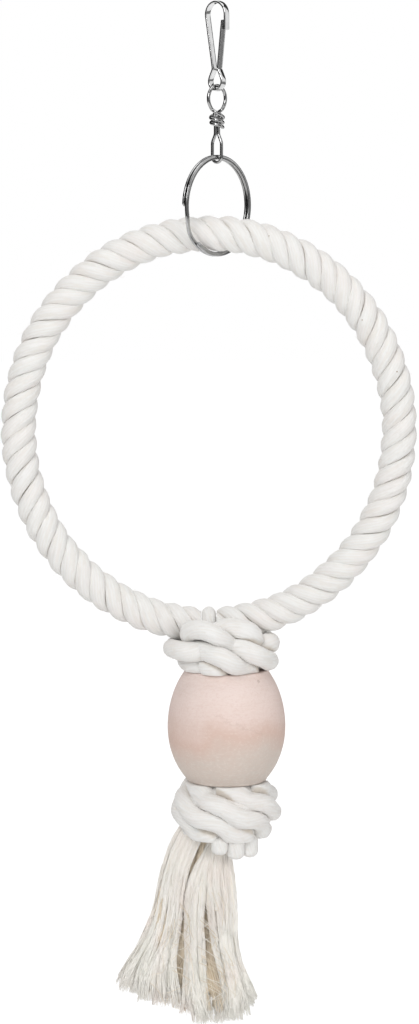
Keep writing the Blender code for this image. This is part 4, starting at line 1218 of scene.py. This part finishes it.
def lower_knot_route(begin):
    """One strand: out from the rope under the bead, round the knot as it falls, and in again."""
    top, bottom = lower_knot_heights()
    seat = drop_rope_radius + CLEARANCE + strand_radius
    reach = LOWER_KNOT_RADIUS - strand_radius
    turns = (top - bottom) / ((STRAND_DIAMETER + KNOT_GAP) * LOWER_KNOT_STRANDS)
    end = begin + 360 * turns
    tuck = (seat + reach - LOWER_KNOT_DRAW_IN) / 2
    route = [round_drop(begin - 2 * LOWER_KNOT_TUCK, seat, top),
             round_drop(begin - LOWER_KNOT_TUCK, tuck, top)]
    steps = round(LOOP_STEPS * turns)
    for step in range(steps + 1):
        share = step / steps
        azimuth = begin + (end - begin) * share
        radius = reach - LOWER_KNOT_DRAW_IN * (2 * share - 1) ** 2
        wave = LOWER_KNOT_WAVE * math.sin(math.radians(LOWER_KNOT_STRANDS * (azimuth - LOWER_KNOT_STEEPEST)))
        route.append(round_drop(azimuth, radius, top + (bottom - top) * share - wave))
    return route + [round_drop(end + LOWER_KNOT_TUCK, tuck, bottom),
                    round_drop(end + 2 * LOWER_KNOT_TUCK, seat, bottom)]


def lower_knot_lines():
    top, bottom = lower_knot_heights()
    starts = [LOWER_KNOT_START + 360 * index / LOWER_KNOT_STRANDS for index in range(LOWER_KNOT_STRANDS)]
    routes = [smooth_route(lower_knot_route(start), STRAND_DIAMETER * SETTLE_STEP) for start in starts]

    def push_out(points):
        points = push_from_axis(points, drop_rope_radius + strand_radius + CLEARANCE, -np.inf, np.inf)
        points = push_from_axis(points, lower_core_reach() + strand_radius + KNOT_GAP,
                                bottom + strand_radius, top - strand_radius)
        points[:, 2] = np.clip(points[:, 2], bottom, top)
        return points

    return settle(routes, STRAND_DIAMETER + CLEARANCE, push_out)


def hitch_share(line):
    """1 where the hitch strand is drawn thin over the core wire, falling to 0 in the knot."""
    beside = np.abs(line[:, 0] - ring_middle.x)
    return 1 - ease((np.hypot(from_core(line), beside) - ROPE_RADIUS) / HITCH_TAPER)


def knot_strands(names, lines, cotton, keep, solids=np.zeros((0, 3)), gains=np.zeros(0)):
    """The strands of a knot, swollen until they press on each other and on the solids beside them. In the
    rope's slot, only the core wire, which is thinner than a strand, presses on the hitch."""
    lines = [eased(even_steps(line, STRAND_ROW), KNOT_EASING) for line in lines]
    meshes = []
    for index, (name, line) in enumerate(zip(names, lines)):
        lengths = lengths_along(line)
        thin = hitch_share(line) if name == "upper_knot_hitch" else np.zeros(len(line))
        rest = np.vstack([other for place, other in enumerate(lines) if place != index])
        others, other_gains = [], []
        for length, share in zip(lengths, thin):
            beside = (gains < 0) | (share < HITCH_IN_SLOT)
            far = line[np.abs(lengths - length) > SELF_REACH * STRAND_DIAMETER]
            others.append(np.vstack([far, rest, solids[beside]]))
            other_gains.append(np.concatenate([np.zeros(len(far) + len(rest)), gains[beside]]))

        def limits(directions, angles):
            return press_limits(line, directions, others, other_gains)

        bulge = 1 + TUCK_SWELL * (1 - ease(from_ends(line) / TUCK_LENGTH)) + waves(lengths, KNOT_WAVES, index)
        full = (strand_radius + STRAND_SWELL) * (1 - thin) + HITCH_DIAMETER / 2 * thin
        reach = full * bulge * end_rounding(line, strand_radius)
        meshes.append(add_strand(name + "_yarns", name, "drop", cotton, line, steady_frames(line), reach,
                                 limits, keep=keep))
    return meshes


def make_upper_knot(cotton):
    names = ["upper_knot_hitch"]
    names += [f"upper_knot_strand_{index + 1}" for index in range(len(UPPER_STRAND_ROUTES))]
    ring = ring_points(np.linspace(-KNOT_RING_ANGLE, KNOT_RING_ANGLE, KNOT_RING_STEPS))
    bare = np.abs(ring[:, 0] - ring_middle.x) < SLOT_HALF
    gains = np.where(bare, CORE_WIRE / 2, ROPE_RADIUS) ** 2 - strand_radius ** 2

    def keep(points):
        points[..., 2] = np.maximum(points[..., 2], bead_high.z + BEAD_TOUCH)
        flat = points.reshape(-1, 3)
        in_slot = from_core(flat) < ROPE_RADIUS
        held = np.clip(flat[:, 0], ring_middle.x - SLOT_HALF, ring_middle.x + SLOT_HALF)
        flat[:, 0] = np.where(in_slot & (np.abs(flat[:, 0] - held) < STRAND_SWELL), held, flat[:, 0])
        return points

    return knot_strands(names, upper_knot_lines(), cotton, keep, ring, gains)


def make_lower_knot(cotton):
    """The outer strands, and inside them the turns of one strand, whose first and last turn lie flat."""
    names = [f"lower_knot_strand_{index + 1}" for index in range(LOWER_KNOT_STRANDS)]
    knot_high = bead_low.z - CLEARANCE
    knot_low = knot_high - LOWER_KNOT_HEIGHT

    def keep(points):
        points[..., 2] = np.clip(points[..., 2], knot_low - CLEARANCE, bead_low.z - BEAD_TOUCH)
        return points

    meshes = knot_strands(names, lower_knot_lines(), cotton, keep)
    turns = np.linspace(0.0, INNER_TURNS, INNER_TURN_STEPS)
    share = np.clip((turns - 1) / (INNER_TURNS - 2), 0.0, 1.0)
    top = knot_high - INNER_TURN_RADIUS
    bottom = knot_low + CLEARANCE + INNER_TURN_RADIUS
    outer = LOWER_KNOT_RADIUS - LOWER_KNOT_DRAW_IN * (2 * share - 1) ** 2 - INNER_TURN_DEPTH
    line = np.array([round_drop(360 * turn, out - INNER_TURN_RADIUS, top + (bottom - top) * fall)
                     for turn, out, fall in zip(turns, outer, share)])
    add_strand("lower_knot_inner_turns", "lower_knot_core", "drop", cotton, line, steady_frames(line),
               INNER_TURN_RADIUS)
    return meshes


def make_cut_ends(cotton):
    """Strand ends that stand out under the lower knot, rounded where they were cut."""
    meshes = []
    for index in range(CUT_ENDS):
        node = f"cut_end_{index + 1}"
        low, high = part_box(node)
        middle = (low + high) / 2
        radius = (high.x - low.x) / 2
        ends = columns(middle.x, middle.y, np.array((high.z + CUT_END_ROOT, low.z)))
        line = even_steps(ends, CUT_END_ROW)
        reach = radius * CUT_END_SWELL * end_rounding(line, radius * CUT_END_ROUND)
        meshes.append(add_strand(node + "_yarns", node, "drop", cotton, line, steady_frames(line), reach))
    return meshes


# Bead

def bead_half(rim, height, sign):
    """One half of the bead's side, from its widest place to its rounded rim, as (across, up) pairs."""
    full = height / math.sqrt(1 - (rim / bead_radius) ** 2)
    middle_z = bead_high.z - BEAD_UPPER_END[1]
    points = []
    for step in range(BEAD_SIDE_STEPS + 1):
        rise = (height - BEAD_EDGE) * step / BEAD_SIDE_STEPS
        points.append((bead_radius * math.sqrt(1 - (rise / full) ** 2), middle_z + sign * rise))
    across, up = points[-1]
    for step in range(1, BEAD_EDGE_STEPS + 1):
        turn = math.pi / 2 * step / BEAD_EDGE_STEPS
        points.append((across - BEAD_EDGE * (1 - math.cos(turn)), up + sign * BEAD_EDGE * math.sin(turn)))
    return points


def make_bead(wood):
    low, high = bead_low.z, bead_high.z
    bore = drop_rope_radius + CLEARANCE
    across, up = BEAD_MOUTH_ROUND
    profile = bead_half(*BEAD_LOWER_END, -1)[:0:-1] + bead_half(*BEAD_UPPER_END, 1)
    profile += [(bore + BEAD_MOUTH, high), (bore + across, high - up), (bore, high - BEAD_MOUTH)]
    profile += [(bore, low + BEAD_MOUTH), (bore + across, low + up), (bore + BEAD_MOUTH, low)]
    bm = bmesh.new()
    verts = [bm.verts.new((drop_x + x, 0.0, z)) for x, z in profile]
    edges = [bm.edges.new(pair) for pair in zip(verts, verts[1:] + verts[:1])]
    bmesh.ops.spin(bm, geom=verts + edges, axis=(0, 0, 1), cent=(drop_x, 0, 0), steps=BEAD_SPIN_STEPS,
                   angle=FULL_TURN, use_merge=True)
    bmesh.ops.remove_doubles(bm, verts=bm.verts, dist=MERGE_DISTANCE)
    add_piece("turned_bead", mesh_from("turned_bead", bm), wood, "bead", ("wooden_bead",))


# Tassel

def bundle_locks(bundle):
    """The locks of a bundle: each one's drop at every millimetre, with its middle across and behind and
    its half width."""
    edges, fronts, lengths = (np.array(table) * MM for table in TASSEL_BUNDLES[bundle])
    locks = []
    for index, length in enumerate(lengths):
        drop = np.arange(edges[0, 0], length, MM)
        left, right = (np.interp(drop, edges[:, 0], edges[:, side]) for side in (1, 2))
        half = (right - left) / len(lengths) / 2 * LOCK_OVERLAP
        across = left + half + (right - left - 2 * half) * index / (len(lengths) - 1)
        out = 2 * (index + 0.5) / len(lengths) - 1
        outermost = max(0.0, out * OUTER_SIDES.get(bundle, 0))
        behind = np.interp(drop, *fronts.T) * (1 - BUNDLE_ROUNDNESS * (out ** 2 + outermost))
        phases = random.uniform(0.0, FULL_TURN, 2)
        loose = LOCK_LOOSENESS * half * ease(drop / LOCK_LOOSENING)
        sways = [loose * np.sin(drop / wave + phase) for wave, phase in zip(LOCK_WAVES, phases)]
        locks.append((drop, eased(columns(across + sways[0], behind + sways[1], half), LOCK_EASING)))
    return locks


def back_lock(drop, values):
    """The like of a front lock on the tassel's back."""
    return drop, values * (1.0, -1.0, 1.0) + (BACK_SHIFT, 0.0, 0.0)


def lock_at(drop, values, at):
    """A lock's middle across and behind and its half width, at some drops."""
    return (np.interp(at, drop, values[:, column]) for column in range(3))


def ripple(at, lengths, phases):
    """A long and a short wave along a yarn."""
    return sum(height * np.sin(at / length + phase)
               for height, length, phase in zip(YARN_RIPPLES, lengths, phases))


def lock_yarns(drop, values, count):
    """The yarns on one lock, in clumps that turn slowly round it down to their ragged ends."""
    lines, widths = [], []
    twist = random.uniform(*LOCK_TWIST)
    jitter = random.uniform(-CLUMP_JITTER, CLUMP_JITTER, LOCK_CLUMPS)
    clumps = (np.arange(LOCK_CLUMPS) + jitter) * FULL_TURN / LOCK_CLUMPS
    phases = random.uniform(0.0, FULL_TURN, (LOCK_CLUMPS, 3))
    swells = random.uniform(*CLUMP_SWELLS, LOCK_CLUMPS)
    for yarn in range(count):
        clump = yarn % LOCK_CLUMPS
        spread = random.normal(0.0, CLUMP_SPREAD)
        reach = (swells[clump] - CLUMP_FALL_OFF * spread ** 2) * random.uniform(*YARN_REACH)
        if yarn % YARNS_PER_INNER == 0:
            reach = random.uniform(*INNER_REACH)
        end = drop[-1] - LOCK_RAGGED * random.uniform() ** 2 + CLUMP_RAGGED * math.sin(phases[clump, 2])
        at = np.linspace(drop[0], end, YARN_STEPS)
        share = (at - drop[0]) / (drop[-1] - drop[0])
        across, behind, half = lock_at(drop, values, at)
        wander = CLUMP_WANDER * np.sin(at / CLUMP_WANDER_LENGTH + phases[clump, 0])
        turn = clumps[clump] + spread + twist * share + wander
        flare = half * reach * (1 + YARN_FLARE * ease(5 * share - 4))
        loose = ease(3 * share)
        stray = random.uniform(0.0, FULL_TURN, 2)
        across += flare * np.cos(turn) + loose * ripple(at, RIPPLES_ACROSS, (phases[clump, 1], stray[0]))
        behind += LOCK_FLATNESS * flare * np.sin(turn)
        behind += loose * ripple(at, RIPPLES_BEHIND, (phases[clump, 2], stray[1]))
        lines.append(columns(across, behind, tassel_top_z - at))
        widths.append(random.uniform(*YARN_WIDTH) * (1 - YARN_TAPER * share))
    return lines, widths


def lock_core(name, drop, values, tint):
    """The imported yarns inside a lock, as one body with a groove between each two of them."""
    kept = slice(0, len(drop) - round(CORE_STOP / MM))
    across, behind, half = values[kept].T
    line = columns(across, behind, tassel_top_z - drop[kept])
    angles = np.linspace(0.0, FULL_TURN, LOCK_CORE_COLUMNS, endpoint=False)
    grooves = CORE_GROOVE * (np.arange(LOCK_CORE_COLUMNS) % 2)
    unevenness = CORE_UNEVENNESS * random.uniform(0.0, 1.0, LOCK_CORE_COLUMNS)
    reach = (1 - grooves - unevenness) * LOCK_CORE
    section = columns(reach * np.cos(angles), reach * LOCK_FLATNESS * np.sin(angles))
    points = swept(line, (1.0, 0.0, 0.0), (0.0, 1.0, 0.0), section, half * end_rounding(line, CORE_END))
    size = (FULL_TURN * half.mean() / UV_UNIT, lengths_along(line)[-1] / UV_UNIT)
    # Every point of the core carries the given share of painted shade
    return rolled_grid(name, points, size, sharp_angle=SMOOTH_ALL, painted_shade_shares=np.full(points.shape[:2], tint))


def add_tassel_piece(name, mesh, yarn):
    """A piece of the tassel, which stands for the tassel's CAD nodes and rides on no body."""
    nodes = ["tassel_root"] + [f"tassel_lock_{index + 1}" for index in range(TASSEL_LOCKS)]
    piece = add_piece(name, mesh, yarn, None, nodes)
    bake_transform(piece)


def stray_lines(locks):
    """Fine threads that have come loose and cross from one front lock to the next."""
    lines, widths = [], []
    for _ in range(STRAY_THREADS):
        first = int(random.choice(STRAY_STARTS))
        start = random.uniform(*STRAY_DROP)
        spots = []
        for step, lock in enumerate((first, first + 1, first + int(random.integers(0, 2)))):
            drop, values = locks[lock]
            at = min(start + step * random.uniform(*STRAY_FALL), drop[-1])
            across, behind, half = lock_at(drop, values, at)
            off = half * LOCK_FLATNESS * STRAY_CLEAR + random.uniform(*STRAY_OFF)
            aside = half * random.uniform(-STRAY_SIDE, STRAY_SIDE)
            spots.append((across + aside, behind - off, tassel_top_z - at))
        lines.append(smooth_route(spots, STRAY_STEP))
        widths.append(np.full(len(lines[-1]), random.uniform(*STRAY_WIDTH)))
    return lines, widths


def make_tassel(yarn, painted_shade_yarn):
    """Bundles of locks, each lock a packed core with yarns on it, and stray threads over the front ones."""
    fronts = []
    for bundle in TASSEL_BUNDLES:
        # The inner bundle takes the yarn with painted shade and cores in full painted shade; the others get a
        # lighter painted shade
        finish, tint = (painted_shade_yarn, 1.0) if bundle == "inner" else (yarn, CORE_SHADE)
        locks = bundle_locks(bundle)
        if bundle in UNPAIRED_BUNDLES:
            sides = {"inner": locks}
        else:
            fronts += locks
            sides = {"front": locks, "back": [back_lock(*lock) for lock in locks]}
        for side, locks in sides.items():
            lines, widths = [], []
            for index, lock in enumerate(locks):
                more_lines, more_widths = lock_yarns(*lock, LOCK_YARNS[side])
                lines += more_lines
                widths += more_widths
                name = f"tassel_{bundle}_{side}_core_{index + 1}"
                add_tassel_piece(name, lock_core(name, *lock, tint), finish)
            name = f"tassel_{bundle}_{side}_yarns"
            add_tassel_piece(name, tuft_mesh(name, lines, widths), finish)
    # The second set of stray threads takes the painted shade of the inner yarns
    for name, finish in (("tassel_stray_threads", yarn), ("tassel_painted_shade_threads", painted_shade_yarn)):
        add_tassel_piece(name, tuft_mesh(name, *stray_lines(fronts)), finish)


# Loose fibres

def add_fibres(name, meshes, count, longest, yarn, body):
    """Fine fibres that stand off strands, each a short curved hair on a chosen point of a mesh."""
    lines, widths = [], []
    spots = np.vstack([np.array([vert.co for vert in mesh.vertices]) for mesh in meshes])
    normals = np.vstack([np.array([vert.normal for vert in mesh.vertices]) for mesh in meshes])
    share = np.linspace(0.0, 1.0, FIBRE_POINTS)[:, None]
    for index in random.integers(0, len(spots), count):
        length = random.uniform(*FIBRE_LENGTH) * longest
        side = unit(np.cross(normals[index], random.normal(size=3)))
        lean = unit(np.cross(normals[index], side))
        rise = normals[index] * random.uniform(*FIBRE_RISE) * np.sin(share * random.uniform(*FIBRE_CURL))
        bend = side * FIBRE_BEND * share ** 2 * random.normal()
        lines.append(spots[index] + length * (lean * share + rise + bend))
        widths.append(np.linspace(*FIBRE_WIDTH, FIBRE_POINTS))
    add_piece(name, tuft_mesh(name, lines, widths), yarn, body)


# Stage

def seen_directly(tree):
    """1 for what the camera sees, also in a mirror or through glass, and 0 for what lights the object."""
    seen, mirrored, passed = (add_node(tree, "ShaderNodeLightPath", output=f"Is {kind} Ray")
                              for kind in ("Camera", "Glossy", "Transmission"))
    return seen.at_least(mirrored.at_least(passed))


def make_floor():
    """A pale floor, which the camera sees as white apart from the object's shadow."""
    bm = bmesh.new()
    bmesh.ops.create_grid(bm, x_segments=1, y_segments=1, size=FLOOR_HALF)
    bmesh.ops.translate(bm, verts=bm.verts, vec=(0.0, 0.0, cad_box[0].z - FLOOR_DROP))
    floor = bpy.data.objects.new("floor", mesh_from("floor", bm))
    finish = Finish("studio_floor")
    tone = finish.noise(finish.object_place(), scale=2.0, detail=1.0)
    finish.set(Base_Color=finish.fade(tone, (0.3, 0.93), (0.7, 0.95)), Roughness=0.9)
    glow = finish.node("ShaderNodeEmission", inputs={"Color": gray(1.0), "Strength": FLOOR_GLOW})
    lit = Value(finish.tree, finish.shader.outputs[0])
    shown = FLOOR_SHOWN * seen_directly(finish.tree)
    mixed = finish.node("ShaderNodeMixShader", inputs={0: shown, 1: lit, 2: glow})
    feed(finish.tree, finish.tree.nodes["Material Output"].inputs["Surface"], mixed)
    floor.data.materials.append(finish.material)
    bpy.context.collection.objects.link(floor)


def make_cards():
    """Dark and gray cards round the object and under it, which only mirrors see."""
    finishes = {}
    for tone in sorted({tone for _, _, tone in CARD_PLACES}):
        finishes[tone] = Finish(f"card_{round(100 * tone)}")
        finishes[tone].set(Base_Color=gray(tone), Roughness=0.9)
    for index, (azimuth, elevation, tone) in enumerate(CARD_PLACES):
        bm = bmesh.new()
        bmesh.ops.create_grid(bm, x_segments=1, y_segments=1, size=0.5)
        bmesh.ops.scale(bm, verts=bm.verts, vec=CARD_SIZE)
        name = f"dark_card_{index + 1}"
        card = bpy.data.objects.new(name, mesh_from(name, bm))
        card.data.materials.append(finishes[tone].material)
        turn, rise = math.radians(azimuth), math.radians(elevation)
        away = Vector((math.sin(turn) * math.cos(rise), -math.cos(turn) * math.cos(rise), math.sin(rise)))
        card.location = CARD_MIDDLE + away * CARD_DISTANCE
        card.rotation_euler = (-away).to_track_quat("Z", "Y").to_euler()
        card.visible_camera = False
        card.visible_diffuse = False
        card.visible_shadow = False
        bpy.context.collection.objects.link(card)


def make_light():
    for name, (place, size, power) in LAMPS.items():
        light = bpy.data.lights.new(name, "AREA")
        light.shape = "DISK"
        light.size = size
        light.energy = power
        lamp = bpy.data.objects.new(name, light)
        lamp.location = place
        lamp.rotation_euler = (CAMERA_TARGET - Vector(place)).to_track_quat("-Z", "Y").to_euler()
        bpy.context.collection.objects.link(lamp)
    world = bpy.data.worlds.new("studio")
    bpy.context.scene.world = world
    world.use_nodes = True
    tree = world.node_tree
    background = tree.nodes["Background"]
    feed(tree, background.inputs["Color"], gray(1.0))
    feed(tree, background.inputs["Strength"], WORLD_LIGHT + (1 - WORLD_LIGHT) * seen_directly(tree))


def make_camera():
    camera = bpy.data.objects.new("camera", bpy.data.cameras.new("camera"))
    away = Vector((0.0, -math.cos(CAMERA_ELEVATION), math.sin(CAMERA_ELEVATION)))
    camera.location = CAMERA_TARGET + away * CAMERA_DISTANCE
    camera.rotation_euler = (math.pi / 2 - CAMERA_ELEVATION, 0.0, 0.0)
    camera.data.sensor_fit = "VERTICAL"
    camera.data.sensor_height = SENSOR
    camera.data.sensor_width = SENSOR
    camera.data.lens = SENSOR * CAMERA_DISTANCE / (METRES_PER_PIXEL * PHOTO_HEIGHT)
    bpy.context.collection.objects.link(camera)
    bpy.context.scene.camera = camera
    bpy.context.scene.view_settings.view_transform = "Standard"


def main():
    make_camera()
    worn_nickel = make_nickel("worn_nickel", *WORN_NICKEL)
    cotton = make_cotton()
    yarn = make_yarn("frayed_yarn", 0.0)
    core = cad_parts["ring_core_wire"]
    core.data.materials.clear()
    core.data.materials.append(make_core_steel())

    make_snap_hook(make_nickel("bright_nickel", *BRIGHT_NICKEL))
    make_swivel(worn_nickel)
    make_split_ring(worn_nickel)
    ring = make_ring_rope(cotton)
    make_drop_rope(cotton)
    knots = make_upper_knot(cotton) + make_lower_knot(cotton) + make_cut_ends(cotton)
    make_bead(make_wood())
    make_tassel(yarn, make_yarn("painted_shade_yarn", INNER_SHADE))
    add_fibres("ring_loose_fibres", ring, *RING_FIBRES, yarn, "rope_ring")
    add_fibres("knot_loose_fibres", knots, *KNOT_FIBRES, yarn, "drop")

    make_floor()
    make_cards()
    make_light()


main()
